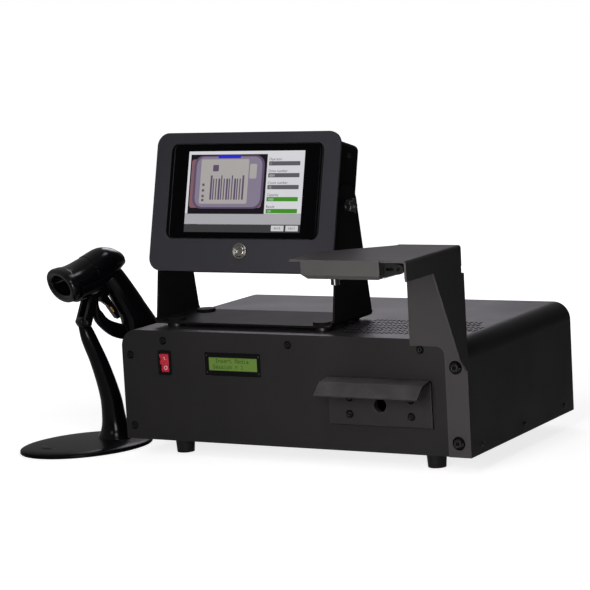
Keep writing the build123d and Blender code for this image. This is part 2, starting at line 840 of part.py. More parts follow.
with BuildPart() as coil_winding:
    with BuildSketch(front_at(bobbin_front + cheek_t + winding_gap)):
        with Locations((drawer_x, bobbin_mid)):
            RectangleRounded(
                tunnel_w + 2 * (bobbin_wall + winding_t), bobbin_bore_h + 2 * (bobbin_wall + winding_t), winding_t
            )
            Rectangle(
                tunnel_w + 2 * (bobbin_wall + winding_gap),
                bobbin_bore_h + 2 * (bobbin_wall + winding_gap),
                mode=Mode.SUBTRACT,
            )
    extrude(amount=-(bobbin_l - 2 * (cheek_t + winding_gap)))
coil_winding.part.label = "coil_winding"
export_step(coil_winding.part, "parts/coil_winding.step")

# Drawer guides: grooved rails on the tunnel's side walls
for guide_name, side in (("guide_left", -1), ("guide_right", 1)):
    guide_wall = drawer_x + side * tunnel_w / 2
    with BuildPart() as guide:
        with BuildSketch(front_at(bobbin_front)):
            with Locations((guide_wall - side * guide_w / 2, runner_z)):
                Rectangle(guide_w, guide_h)
            with Locations((guide_wall - side * (guide_w - guide_groove / 2), runner_z)):
                Rectangle(guide_groove, runner_t + 2 * runner_gap, mode=Mode.SUBTRACT)
        extrude(amount=-bobbin_l)
    guide.part.label = guide_name
    export_step(guide.part, f"parts/{guide_name}.step")

# Capacitor bank and its clamp
cap_places = [(cap_row_x + cap_pitch * number, cap_row_y) for number in range(cap_count)]
with BuildPart() as capacitor_bank:
    with BuildSketch(level_at(sheet_t)):
        with Locations(*cap_places):
            Circle(cap_r)
    extrude(amount=cap_h)
    with BuildSketch(level_at(sheet_t + cap_h)):
        with Locations(*[(x + dx * cap_r * cap_stud_share, y) for x, y in cap_places for dx in (-1, 1)]):
            Circle(cap_stud_r)
    extrude(amount=cap_stud_h)
capacitor_bank.part.label = "capacitor_bank"
export_step(capacitor_bank.part, "parts/capacitor_bank.step")

clamp_w = cap_pitch * (cap_count - 1) + 2 * (cap_r + clamp_margin)
clamp_d = 2 * (cap_r + clamp_margin)
clamp_mid = (cap_row_x + cap_pitch * (cap_count - 1) / 2, cap_row_y)
with BuildPart() as capacitor_clamp:
    with BuildSketch(level_at(clamp_z)):
        with Locations(clamp_mid):
            Rectangle(clamp_w, clamp_d)
        with Locations(*cap_places):
            Circle(cap_r + cap_play, mode=Mode.SUBTRACT)
    extrude(amount=clamp_t)
    with BuildSketch(level_at(sheet_t)):
        with Locations(clamp_mid):
            with GridLocations(clamp_w - clamp_leg, clamp_d - clamp_leg, 2, 2):
                Rectangle(clamp_leg, clamp_leg)
    extrude(amount=clamp_z - sheet_t)
capacitor_clamp.part.label = "capacitor_clamp"
export_step(capacitor_clamp.part, "parts/capacitor_clamp.step")

# Charging transformer: laminated core with two windows, winding on its middle limb
core_front = core_y - core_t / 2
window_h = core_h - 2 * core_limb
window_w = (core_w - 4 * core_limb) / 2
with BuildPart() as transformer_core:
    with BuildSketch(front_at(core_front)):
        with Locations((core_x, sheet_t)):
            Rectangle(core_w, core_h, align=(Align.CENTER, Align.MIN))
            Rectangle(core_w + 2 * lug_l, lug_t, align=(Align.CENTER, Align.MIN))
        with Locations((core_x, sheet_t + core_h / 2)):
            with GridLocations(window_w + 2 * core_limb, 0, 2, 1):
                Rectangle(window_w, window_h, mode=Mode.SUBTRACT)
    extrude(amount=-core_t)
transformer_core.part.label = "transformer_core"
export_step(transformer_core.part, "parts/transformer_core.step")

with BuildPart() as transformer_winding:
    with BuildSketch(level_at(sheet_t + core_limb + coil_gap)):
        with Locations((core_x, core_y)):
            Rectangle(2 * (core_limb + window_w - coil_gap), core_t + 2 * (window_w - coil_gap))
            Rectangle(2 * (core_limb + coil_gap), core_t + 2 * coil_gap, mode=Mode.SUBTRACT)
    extrude(amount=window_h - 2 * coil_gap)
transformer_winding.part.label = "transformer_winding"
export_step(transformer_winding.part, "parts/transformer_winding.step")

# Control board on four posts, with its tall components
board_top = sheet_t + board_standoff + board_t
with BuildPart() as control_board:
    with BuildSketch(level_at(board_top - board_t)):
        with Locations((board_x, board_y)):
            Rectangle(board_w, board_l)
    extrude(amount=board_t)
    with BuildSketch(level_at(sheet_t)):
        with Locations((board_x, board_y)):
            with GridLocations(board_w - 2 * board_post_inset, board_l - 2 * board_post_inset, 2, 2):
                Circle(board_post_r)
    extrude(amount=board_standoff)
    for x_share, y_share, w_share, l_share, height_share in board_parts_shares:
        with BuildSketch(level_at(board_top)):
            with Locations((board_x + x_share * board_w, board_y + y_share * board_l)):
                Rectangle(w_share * board_w, l_share * board_l)
        extrude(amount=height_share * board_part_h)
control_board.part.label = "control_board"
export_step(control_board.part, "parts/control_board.step")

# Pulse switch: disc thyristor between a finned heat sink's base and the open
fin_pitch = (sink_w - sink_fin_t) / (sink_fins - 1)
with BuildPart() as pulse_heatsink:
    with BuildSketch(front_at(sink_y - sink_l / 2)):
        with Locations((sink_x, sheet_t)):
            Rectangle(sink_w, sink_base, align=(Align.CENTER, Align.MIN))
        with Locations(*[(sink_x - (sink_w - sink_fin_t) / 2 + n * fin_pitch, sheet_t + sink_base)
                         for n in range(sink_fins)]):
            Rectangle(sink_fin_t, sink_fin_h, align=(Align.CENTER, Align.MIN))
    extrude(amount=-sink_l)
    with BuildSketch(level_at(sheet_t + sink_base + sink_fin_h)):
        with Locations((sink_x, sink_y)):
            Circle(puck_r)
    extrude(amount=puck_h)
pulse_heatsink.part.label = "pulse_heatsink"
export_step(pulse_heatsink.part, "parts/pulse_heatsink.step")

# Cooling fan: frame against the rear panel, rotor on its shaft, guard outside
fan_front = cab_d - rear_t - fan_depth
fan_motor_y = fan_front + fan_motor_t
with BuildPart() as fan_frame:
    with BuildSketch(front_at(fan_front)):
        with Locations((fan_x, fan_z)):
            RectangleRounded(fan_size, fan_size, fan_strut_w)
            Circle(fan_duct_r, mode=Mode.SUBTRACT)
        with Locations(*fan_corners):
            Circle(fan_hole_r, mode=Mode.SUBTRACT)
    extrude(amount=-fan_depth)
    with BuildSketch(front_at(fan_front)):
        with Locations((fan_x, fan_z)):
            Circle(fan_hub_r)
            Rectangle(2 * fan_duct_r + fan_strut_w / 2, fan_strut_w)
            Rectangle(fan_strut_w, 2 * fan_duct_r + fan_strut_w / 2)
            Circle(fan_shaft_r + pin_play, mode=Mode.SUBTRACT)
    extrude(amount=-fan_motor_t)
fan_frame.part.label = "fan_frame"
export_step(fan_frame.part, "parts/fan_frame.step")

blade_l = fan_depth * fan_blade_share
blade_out = fan_duct_r - fan_tip_gap
blade_chord = blade_out * fan_chord_share
rotor_front = fan_motor_y + fit_gap
with BuildPart() as fan_rotor:
    with BuildSketch(front_at(rotor_front)):
        with Locations((fan_x, fan_z)):
            Circle(fan_hub_r)
    extrude(amount=-blade_l)
    with BuildSketch(front_at(fan_front + fit_gap)):
        with Locations((fan_x, fan_z)):
            Circle(fan_shaft_r)
    extrude(amount=-fan_motor_t)
    hub_mid = Location((cab_x + fan_x, front_y + rotor_front + blade_l / 2, foot_h + fan_z))
    blade_mid_r = (fan_hub_r + blade_out) / 2
    with Locations(hub_mid):
        with Locations(*[Location((0, 0, 0), (0, 360 / fan_blades * n, 0))
                         * Location((blade_mid_r, 0, 0), (fan_blade_pitch, 0, 0)) for n in range(fan_blades)]):
            Box(blade_out - fan_hub_r + fan_blade_t, blade_chord, fan_blade_t)
    with BuildSketch(front_at(rotor_front)):
        with Locations((fan_x, fan_z)):
            Circle(blade_out)
    extrude(amount=-blade_l, mode=Mode.INTERSECT)
    with BuildSketch(front_at(fan_front + fit_gap)):
        with Locations((fan_x, fan_z)):
            Circle(fan_shaft_r)
    extrude(amount=-fan_motor_t)
fan_rotor.part.label = "fan_rotor"
export_step(fan_rotor.part, "parts/fan_rotor.step")

guard_pitch = (fan_duct_r - guard_ring_w) / guard_rings
guard_ear_r = fan_hole_r + guard_ring_w
guard_spoke_l = fan_hole_pitch * sqrt(2)
with BuildPart() as fan_guard:
    with BuildSketch(front_at(cab_d)):
        with Locations((fan_x, fan_z)):
            for ring in range(guard_rings, 0, -1):
                Circle(ring * guard_pitch + guard_ring_w / 2)
                Circle(ring * guard_pitch - guard_ring_w / 2, mode=Mode.SUBTRACT)
            for turn in (45, -45):
                Rectangle(guard_spoke_l, guard_ring_w, rotation=turn)
        with Locations(*fan_corners):
            Circle(guard_ear_r)
            Circle(fan_hole_r, mode=Mode.SUBTRACT)
    extrude(amount=-guard_t)
fan_guard.part.label = "fan_guard"
export_step(fan_guard.part, "parts/fan_guard.step")

# Mains inlet: flange outside, body through the rear panel, three flat pins in the recess
inlet_pins = [(inlet_x - inlet_pin_dx, inlet_z - inlet_pin_drop), (inlet_x + inlet_pin_dx, inlet_z - inlet_pin_drop),
              (inlet_x, inlet_z + inlet_earth_rise)]
with BuildPart() as power_inlet:
    with BuildSketch(front_at(cab_d)):
        with Locations((inlet_x, inlet_z)):
            RectangleRounded(inlet_flange_w, inlet_flange_h, inlet_pin_h)
    extrude(amount=-inlet_flange_t)
    with BuildSketch(front_at(cab_d)):
        with Locations((inlet_x, inlet_z)):
            Rectangle(inlet_body_w, inlet_body_h)
    extrude(amount=inlet_body_l)
    with BuildSketch(front_at(cab_d + inlet_flange_t)):
        with Locations((inlet_x, inlet_z)):
            Rectangle(inlet_recess_w, inlet_recess_h)
    extrude(amount=inlet_recess_l, mode=Mode.SUBTRACT)
    with BuildSketch(front_at(cab_d + inlet_flange_t - inlet_recess_l)):
        with Locations(*inlet_pins):
            Rectangle(inlet_pin_w, inlet_pin_h)
    extrude(amount=-inlet_pin_l)
power_inlet.part.label = "power_inlet"
export_step(power_inlet.part, "parts/power_inlet.step")

# Fuse holder with its screw cap
with BuildPart() as fuse_holder:
    with BuildSketch(front_at(cab_d)):
        with Locations((fuse_x, fuse_z)):
            Circle(fuse_body_r)
    extrude(amount=fuse_body_l)
    with BuildSketch(front_at(cab_d)):
        with Locations((fuse_x, fuse_z)):
            Circle(fuse_cap_r)
    extrude(amount=-fuse_cap_l)
    with BuildSketch(front_at(cab_d + fuse_cap_l)):
        with Locations((fuse_x, fuse_z)):
            Rectangle(2 * fuse_cap_r, sheet_t)
    extrude(amount=sheet_t, mode=Mode.SUBTRACT)
fuse_holder.part.label = "fuse_holder"
export_step(fuse_holder.part, "parts/fuse_holder.step")

# Camera arm: front plate, side plate and shelf folded from one sheet
arm_side_x = cab_w / 2
arm_plate_top = arm_h - arm_t - fit_gap
with BuildPart() as arm_bracket:
    with BuildSketch(front_at(0)):
        with BuildLine():
            Polyline(
                (arm_side_x, 0),
                (arm_side_x, arm_relief_low),
                (arm_side_x - arm_plate_trim, arm_relief_low),
                (arm_side_x - arm_plate_trim, arm_plate_top),
                (arm_wide_x, arm_plate_top),
                (arm_wide_x, arm_step_z),
                (arm_strip_x, arm_step_z),
                (arm_strip_x, 0),
                close=True,
            )
        make_face()
    extrude(amount=arm_t)
    fillet(
        arm_bracket.edges().filter_by(Axis.Y).group_by(Axis.X)[1].sort_by(Axis.Z)[-1:], arm_step_r
    )
    with BuildSketch(side_at(arm_side_x)):
        with BuildLine():
            Polyline(
                (0, arm_side_low),
                (0, arm_relief_low),
                (-arm_relief_y, arm_relief_low),
                (-arm_relief_y, arm_relief_high),
                (-arm_shelf_rear, arm_relief_high),
                (-arm_shelf_rear, arm_h),
                (-arm_reach, arm_h),
                (-arm_reach, arm_nose_low),
                (arm_slant_high_y, arm_nose_low),
                (arm_slant_low_y, arm_slant_low_z),
                close=True,
            )
        make_face()
    extrude(amount=-arm_t)
    with BuildSketch(level_at(arm_h)):
        with BuildLine():
            Polyline(
                (arm_side_x, -arm_shelf_rear),
                (arm_shelf_notch_x, -arm_shelf_rear),
                (arm_shelf_notch_x, arm_shelf_notch_y),
                (arm_shelf_left, arm_shelf_corner_y),
                (arm_shelf_left, -arm_reach),
                (arm_side_x, -arm_reach),
                close=True,
            )
        make_face()
    extrude(amount=-arm_t)
    fillet(arm_bracket.edges().filter_by(Axis.Y).sort_by(lambda edge: edge.center().X + edge.center().Z)[-1:], arm_fold_r)
    with BuildSketch(front_at(-arm_reach)):
        with Locations(((arm_lip_left + arm_lip_right) / 2, arm_lip_low)):
            Rectangle(arm_lip_right - arm_lip_left, arm_h - arm_lip_low, align=(Align.CENTER, Align.MIN))
    extrude(amount=arm_t)
    with BuildSketch(front_at(-arm_t - overrun)):
        with Locations(*arm_screw_points):
            Circle(large_hole_r)
    extrude(amount=-(arm_t + 2 * overrun), mode=Mode.SUBTRACT)
arm_bracket.part.label = "arm_bracket"
export_step(arm_bracket.part, "parts/arm_bracket.step")

with BuildPart() as arm_screws:
    with Locations(*spots(front_at(-arm_t), arm_screw_points)):
        add(large_screw)
arm_screws.part.label = "arm_screws"
export_step(arm_screws.part, "parts/arm_screws.step")

# Camera housing hung under the shelf, with its lens and light
cam_top = arm_h - arm_t
cam_mid_x = (cam_left + cam_right) / 2
cam_mid_y = (cam_front + cam_rear) / 2
light_y = cam_mid_y
with BuildPart() as camera_housing:
    with BuildSketch(level_at(cam_top)):
        with Locations((cam_mid_x, cam_mid_y)):
            Rectangle(cam_right - cam_left, cam_rear - cam_front)
    extrude(amount=-(cam_top - cam_low))
    chamfer(camera_housing.faces().sort_by(Axis.Z)[0].edges(), cam_chamfer)
    with BuildSketch(level_at(cam_low)):
        with Locations((light_x, light_y)):
            Rectangle(light_w, light_l)
        with Locations((lens_x, lens_y)):
            Circle(lens_flange_r)
    extrude(amount=light_t, mode=Mode.SUBTRACT)
camera_housing.part.label = "camera_housing"
export_step(camera_housing.part, "parts/camera_housing.step")

with BuildPart() as light_diffuser:
    with BuildSketch(level_at(cam_low)):
        with Locations((light_x, light_y)):
            Rectangle(light_w - fit_gap, light_l - fit_gap)
    extrude(amount=light_t)
light_diffuser.part.label = "light_diffuser"
export_step(light_diffuser.part, "parts/light_diffuser.step")

with BuildPart() as camera_lens:
    with BuildSketch(level_at(cam_low)):
        with Locations((lens_x, lens_y)):
            Circle(lens_flange_r - fit_gap / 2)
    extrude(amount=lens_flange_t)
    with BuildSketch(level_at(cam_low)):
        with Locations((lens_x, lens_y)):
            Circle(lens_r)
    extrude(amount=-lens_l)
    with BuildSketch(level_at(cam_low - lens_l)):
        with Locations((lens_x, lens_y)):
            Circle(lens_r - lens_rim)
    extrude(amount=lens_rim, mode=Mode.SUBTRACT)
camera_lens.part.label = "camera_lens"
export_step(camera_lens.part, "parts/camera_lens.step")

# Tapered mounting tab beside the camera housing, with its eye and adjusting slot
with BuildPart() as camera_mount:
    with BuildSketch(front_at(tab_y)):
        with BuildLine():
            Polyline(
                (cam_right, tab_root_low),
                (cam_right, tab_root_high),
                (tab_end_x, tab_end_z + tab_end_r),
                (tab_end_x, tab_end_z - tab_end_r),
                close=True,
            )
        make_face()
        with Locations((tab_end_x, tab_end_z)):
            Circle(tab_end_r)
            Circle(tab_eye_r, mode=Mode.SUBTRACT)
        with Locations((tab_slot_x, tab_end_z)):
            SlotOverall(tab_slot_l, tab_slot_w, mode=Mode.SUBTRACT)
    extrude(amount=-tab_t)
camera_mount.part.label = "camera_mount"
export_step(camera_mount.part, "parts/camera_mount.step")

# Cable block in the corner of the shelf and the side plate
with BuildPart() as arm_block:
    with BuildSketch(level_at(cam_top)):
        with Locations((arm_side_x - arm_t, block_front)):
            Rectangle(block_w, block_l, align=(Align.MAX, Align.MIN))
    extrude(amount=-block_h)
    with BuildSketch(front_at(block_front)):
        with Locations((arm_side_x - arm_t - block_w / 2, cam_top - block_h / 2)):
            Circle(standoff_r)
    extrude(amount=standoff_l)
arm_block.part.label = "arm_block"
export_step(arm_block.part, "parts/arm_block.step")

# Yoke: base and two tapering uprights bent from one sheet
yoke_base = cab_h + bumper_h
yoke_half = yoke_w / 2
yoke_front = yoke_y - yoke_l / 2
yoke_places = [(yoke_x + dx * (yoke_half - disc_inset_x), yoke_y + dy * (yoke_l / 2 - disc_inset_y))
               for dx in (-1, 1) for dy in (-1, 1)]
upright_foot = yoke_base + yoke_bend_r + yoke_t
with BuildPart() as display_yoke:
    with BuildSketch(front_at(yoke_front)):
        with BuildLine():
            FilletPolyline(
                (yoke_x - yoke_half + yoke_t / 2, pivot_z + pivot_top_r),
                (yoke_x - yoke_half + yoke_t / 2, yoke_base + yoke_t / 2),
                (yoke_x + yoke_half - yoke_t / 2, yoke_base + yoke_t / 2),
                (yoke_x + yoke_half - yoke_t / 2, pivot_z + pivot_top_r),
                radius=yoke_bend_r,
            )
            offset(amount=yoke_t / 2, side=Side.BOTH)
        make_face()
    extrude(amount=-yoke_l)
    with BuildSketch(side_at(yoke_x - yoke_half - overrun)):
        with BuildLine():
            Polyline(
                (yoke_front, yoke_base),
                (yoke_front, upright_foot),
                (yoke_y - upright_front_low, upright_foot),
                (yoke_y - pivot_top_r, pivot_z),
                (yoke_y + pivot_top_r, pivot_z),
                (yoke_y + upright_rear_low, upright_foot),
                (yoke_y + yoke_l / 2, upright_foot),
                (yoke_y + yoke_l / 2, yoke_base),
                close=True,
            )
        make_face()
        with Locations((yoke_y, pivot_z)):
            Circle(pivot_top_r)
            Circle(knob_shank_r + pin_play, mode=Mode.SUBTRACT)
    extrude(amount=yoke_w + 2 * overrun, mode=Mode.INTERSECT)
    with BuildSketch(level_at(yoke_base)):
        with Locations(*yoke_places):
            Circle(disc_shank_r + screw_play)
    extrude(amount=yoke_t, mode=Mode.SUBTRACT)
display_yoke.part.label = "display_yoke"
export_step(display_yoke.part, "parts/display_yoke.step")

with BuildPart() as yoke_bumpers:
    with BuildSketch(level_at(cab_h)):
        with Locations(*yoke_places):
            Circle(bumper_r)
            Circle(disc_shank_r + screw_play, mode=Mode.SUBTRACT)
    extrude(amount=bumper_h)
yoke_bumpers.part.label = "yoke_bumpers"
export_step(yoke_bumpers.part, "parts/yoke_bumpers.step")

with BuildPart() as yoke_discs:
    with BuildSketch(level_at(yoke_base + yoke_t)):
        with Locations(*yoke_places):
            Circle(disc_r)
    extrude(amount=disc_h)
    with BuildSketch(level_at(yoke_base + yoke_t)):
        with Locations(*yoke_places):
            Circle(disc_shank_r)
    extrude(amount=-(yoke_t + bumper_h - sheet_t))
yoke_discs.part.label = "yoke_discs"
export_step(yoke_discs.part, "parts/yoke_discs.step")

# Touch screen unit, drawn on planes parallel to its screen, from the pivot outwards
lean = radians(screen_tilt)
pivot_plane = Plane(
    origin=(cab_x + display_x, front_y + yoke_y, foot_h + pivot_z), x_dir=(1, 0, 0), z_dir=(0, -cos(lean), sin(lean))
)
plate_face = pivot_plane.offset(plate_front)
plate_back = pivot_plane.offset(plate_front - plate_t)
button_up = glass_rise - button_drop
with BuildPart() as display_plate:
    with BuildSketch(plate_face):
        RectangleRounded(plate_w, plate_h, plate_r)
        with Locations((0, glass_rise)):
            Rectangle(screen_w + fit_gap, screen_h + fit_gap, mode=Mode.SUBTRACT)
        with Locations((0, button_up)):
            Circle(button_thread_r + fit_gap / 2, mode=Mode.SUBTRACT)
    extrude(amount=-plate_t)
    with BuildSketch(plate_face):
        with Locations((0, glass_rise)):
            RectangleRounded(glass_w + fit_gap, glass_h + fit_gap, glass_r)
    extrude(amount=-glass_t, mode=Mode.SUBTRACT)
display_plate.part.label = "display_plate"
export_step(display_plate.part, "parts/display_plate.step")

with BuildPart() as touch_glass:
    with BuildSketch(plate_face):
        with Locations((0, glass_rise)):
            RectangleRounded(glass_w, glass_h, glass_r)
    extrude(amount=-glass_t)
touch_glass.part.label = "touch_glass"
export_step(touch_glass.part, "parts/touch_glass.step")

with BuildPart() as screen_panel:
    with BuildSketch(plate_face.offset(-glass_t)):
        with Locations((0, glass_rise)):
            Rectangle(screen_w, screen_h)
    extrude(amount=-screen_t)
screen_panel.part.label = "screen_panel"
export_step(screen_panel.part, "parts/screen_panel.step")

# Controller board behind the screen, on four posts
with BuildPart() as display_board:
    with BuildSketch(plate_face.offset(-glass_t - screen_t - unit_board_gap)):
        with Locations((0, glass_rise)):
            Rectangle(unit_board_w, unit_board_h)
    extrude(amount=-board_t)
    with BuildSketch(plate_face.offset(-glass_t - screen_t)):
        with Locations((0, glass_rise)):
            with GridLocations(unit_board_w - 2 * board_post_inset, unit_board_h - 2 * board_post_inset, 2, 2):
                Circle(board_post_r)
    extrude(amount=-unit_board_gap)
    for x_share, y_share, w_share, l_share, height_share in unit_parts_shares:
        with BuildSketch(plate_face.offset(-glass_t - screen_t - unit_board_gap - board_t)):
            with Locations((x_share * unit_board_w, glass_rise + y_share * unit_board_h)):
                Rectangle(w_share * unit_board_w, l_share * unit_board_h)
        extrude(amount=-height_share * unit_part_h)
display_board.part.label = "display_board"
export_step(display_board.part, "parts/display_board.step")

# Box behind the plate, with a boss on each side for the knob's screw
boss_left = yoke_x - display_x - yoke_w / 2 + yoke_t + boss_gap
boss_right = yoke_x - display_x + yoke_w / 2 - yoke_t - boss_gap
box_axis = Plane(origin=pivot_plane.origin, x_dir=(0, cos(lean), -sin(lean)), z_dir=(1, 0, 0))
box_screw_points = [(box_screw_back - plate_front, up) for up in (-box_screw_up, box_screw_up)]
with BuildPart() as display_box:
    with BuildSketch(plate_back):
        RectangleRounded(box_w, box_h, box_r)
    extrude(amount=-box_d)
    with BuildSketch(plate_back):
        RectangleRounded(box_w - 2 * box_wall, box_h - 2 * box_wall, box_r - box_wall)
    extrude(amount=-(box_d - box_wall), mode=Mode.SUBTRACT)
    with BuildSketch(box_axis.offset(boss_left)):
        Circle(boss_r)
    extrude(amount=-boss_left - box_w / 2 + box_wall)
    with BuildSketch(box_axis.offset(boss_right)):
        Circle(boss_r)
    extrude(amount=-(boss_right - box_w / 2 + box_wall))
    with BuildSketch(box_axis.offset(boss_left)):
        Circle(knob_shank_r + pin_play)
    extrude(amount=boss_right - boss_left, mode=Mode.SUBTRACT)
    with BuildSketch(plate_back.offset(-box_d)):
        with GridLocations(vent_pitch, 0, vent_count, 1):
            Rectangle(vent_w, vent_l)
    extrude(amount=box_wall, mode=Mode.SUBTRACT)
    with BuildSketch(box_axis.offset(-box_w)):
        with Locations(*box_screw_points):
            Circle(small_hole_r)
    extrude(amount=2 * box_w, mode=Mode.SUBTRACT)
display_box.part.label = "display_box"
export_step(display_box.part, "parts/display_box.step")

box_left_face = Plane(
    origin=box_axis.offset(-box_w / 2).origin, x_dir=(0, -cos(lean), sin(lean)), z_dir=(-1, 0, 0)
)
with BuildPart() as box_screws:
    with Locations(*spots(box_axis.offset(box_w / 2), box_screw_points)):
        add(small_screw)
    with Locations(*spots(box_left_face, [(-back, up) for back, up in box_screw_points])):
        add(small_screw)
box_screws.part.label = "box_screws"
export_step(box_screws.part, "parts/box_screws.step")

# Metal push button: threaded ring with its nut, and the cap
with BuildPart() as button_ring:
    with BuildSketch(plate_face):
        with Locations((0, button_up)):
            Circle(button_ring_r)
    extrude(amount=button_ring_h)
    with BuildSketch(plate_face):
        with Locations((0, button_up)):
            Circle(button_thread_r)
    extrude(amount=-button_thread_l)
    with BuildSketch(plate_back):
        with Locations((0, button_up)):
            RegularPolygon(button_nut_r, 6)
    extrude(amount=-button_nut_t)
    with BuildSketch(plate_face.offset(button_ring_h)):
        with Locations((0, button_up)):
            Circle(button_cap_r + button_play)
    extrude(amount=-(button_cap_l + button_travel), mode=Mode.SUBTRACT)
button_ring.part.label = "button_ring"
export_step(button_ring.part, "parts/button_ring.step")

with BuildPart() as button_cap:
    with BuildSketch(plate_face.offset(button_ring_h + button_rise)):
        with Locations((0, button_up)):
            Circle(button_cap_r)
    extrude(amount=-button_cap_l)
button_cap.part.label = "button_cap"
export_step(button_cap.part, "parts/button_cap.step")

# Clamping knobs outside the uprights
for knob_name, side in (("knob_left", -1), ("knob_right", 1)):
    knob_plane = Plane(
        origin=(cab_x + yoke_x + side * (yoke_half + boss_gap), front_y + yoke_y, foot_h + pivot_z),
        x_dir=(0, side, 0),
        z_dir=(side, 0, 0),
    )
    with BuildPart() as knob:
        with BuildSketch(knob_plane):
            Circle(knob_flange_r)
        extrude(amount=knob_flange_h)
        with BuildSketch(knob_plane.offset(knob_flange_h)):
            Circle(knob_r - knob_lobe_r / 2)
            with PolarLocations(knob_r - knob_lobe_r, knob_lobes):
                Circle(knob_lobe_r)
        extrude(amount=knob_h - knob_flange_h)
        with BuildSketch(knob_plane.offset(knob_h)):
            Circle(knob_shank_r)
        extrude(amount=-(knob_h + knob_shank_l))
    knob.part.label = knob_name
    export_step(knob.part, f"parts/{knob_name}.step")

# Hand scanner and stand, drawn on its upright plane of symmetry and on level planes
ahead = (-cos(facing), -sin(facing))
stand_origin = (cab_x + stand_x, front_y + stand_y)
stand_side = Plane(origin=(*stand_origin, 0), x_dir=(*ahead, 0), z_dir=(-sin(facing), cos(facing), 0))


def stand_level(height):
    """Level plane above the table, its first axis pointing where the scanner points."""
    return Plane(origin=(*stand_origin, height), x_dir=(*ahead, 0), z_dir=(0, 0, 1))


def scanner_plane(along, height, angle):
    """Plane across the scanner, facing back and up by an angle, with its second axis upwards."""
    turn = radians(angle)
    origin = (stand_origin[0] + along * ahead[0], stand_origin[1] + along * ahead[1], height)
    back = (-cos(turn) * ahead[0], -cos(turn) * ahead[1], sin(turn))
    return Plane(origin=origin, x_dir=(-sin(facing), cos(facing), 0), z_dir=back)


def head_plane(distance):
    """Plane across the scanner's head, that far behind its mouth."""
    turn = radians(head_tilt)
    return scanner_plane(mouth_along - distance * cos(turn), mouth_z + distance * sin(turn), head_tilt)


def loop_points(shares):
    """Points on the plane of symmetry, given from the trigger's pivot as shares of the loop's length."""
    return [(trigger_along + along * loop_l, trigger_z + up * loop_l) for along, up in shares]


with BuildPart() as stand_base:
    with BuildSketch(stand_level(0)):
        with Locations((base_ahead, 0)):
            Ellipse(base_a, base_b)
    extrude(amount=base_t)
    chamfer(stand_base.faces().sort_by(Axis.Z)[-1].edges(), base_edge)
stand_base.part.label = "stand_base"
export_step(stand_base.part, "parts/stand_base.step")

# Neck: height above the base, distance behind the middle, half length and half width, as shares
neck_rise = neck_top - base_t
with BuildPart() as stand_neck:
    for rise_share, back_share, length_share, width_share in neck_shares:
        half_l = neck_top_half_l + length_share * (neck_foot_half_l - neck_top_half_l)
        half_w = neck_top_half_w + width_share * (neck_foot_half_w - neck_top_half_w)
        with BuildSketch(stand_level(base_t + rise_share * neck_rise)):
            with Locations((-back_share * neck_back, 0)):
                Ellipse(half_l, half_w)
    loft()
    with BuildSketch(stand_side.offset(-knuckle_w / 2)):
        with Locations((hinge_along, hinge_z)):
            Circle(knuckle_r)
    extrude(amount=knuckle_w)
    with BuildSketch(stand_side.offset(-knuckle_w / 2 - ear_t - 2 * ear_gap)):
        with Locations((hinge_along, hinge_z)):
            Circle(hinge_pin_r)
    extrude(amount=knuckle_w + 2 * ear_t + 4 * ear_gap)
    for side in (-1, 1):
        with BuildSketch(stand_side.offset(side * (knuckle_w / 2 + ear_t + 2 * ear_gap))):
            with Locations((hinge_along, hinge_z)):
                Circle(pin_head_r)
        extrude(amount=side * pin_head_t)
stand_neck.part.label = "stand_neck"
export_step(stand_neck.part, "parts/stand_neck.step")

# Cradle: trough under the scanner's nose on two ears
with BuildPart() as cradle:
    with BuildSketch(head_plane(cup_start)):
        Ellipse(mouth_half_w + cup_gap + cup_wall, mouth_half_h + cup_gap + cup_wall)
        with Locations((0, -cup_rim_drop)):
            Rectangle(cup_cut, cup_cut, align=(Align.CENTER, Align.MIN), mode=Mode.SUBTRACT)
    extrude(amount=cup_l)
    with BuildSketch(
        stand_side.offset(-knuckle_w / 2 - ear_gap - ear_t), stand_side.offset(knuckle_w / 2 + ear_gap)
    ):
        with BuildLine():
            Polyline(
                (hinge_along - ear_r, hinge_z),
                (hinge_along + ear_r, hinge_z),
                (ear_top_along + ear_r, ear_top_z),
                (ear_top_along - ear_r, ear_top_z),
                close=True,
            )
        make_face()
        with Locations((hinge_along, hinge_z)):
            Circle(ear_r)
    extrude(amount=ear_t)
    with BuildSketch(head_plane(0)):
        Ellipse(mouth_half_w + cup_gap, mouth_half_h + cup_gap)
    extrude(amount=2 * (cup_start + cup_l), mode=Mode.SUBTRACT)
    with BuildSketch(stand_side.offset(-knuckle_w / 2 - ear_gap - ear_t)):
        with Locations((hinge_along, hinge_z)):
            Circle(hinge_pin_r + pin_play)
    extrude(amount=knuckle_w + 2 * (ear_gap + ear_t), mode=Mode.SUBTRACT)
    with BuildSketch(stand_side.offset(-knuckle_w / 2 - ear_gap)):
        with Locations((cup_slot_start, ear_top_z)):
            Rectangle(cup_slot_l, cup_slot_l, align=(Align.MAX, Align.CENTER))
    extrude(amount=knuckle_w + 2 * ear_gap, mode=Mode.SUBTRACT)
cradle.part.label = "cradle"
export_step(cradle.part, "parts/cradle.step")

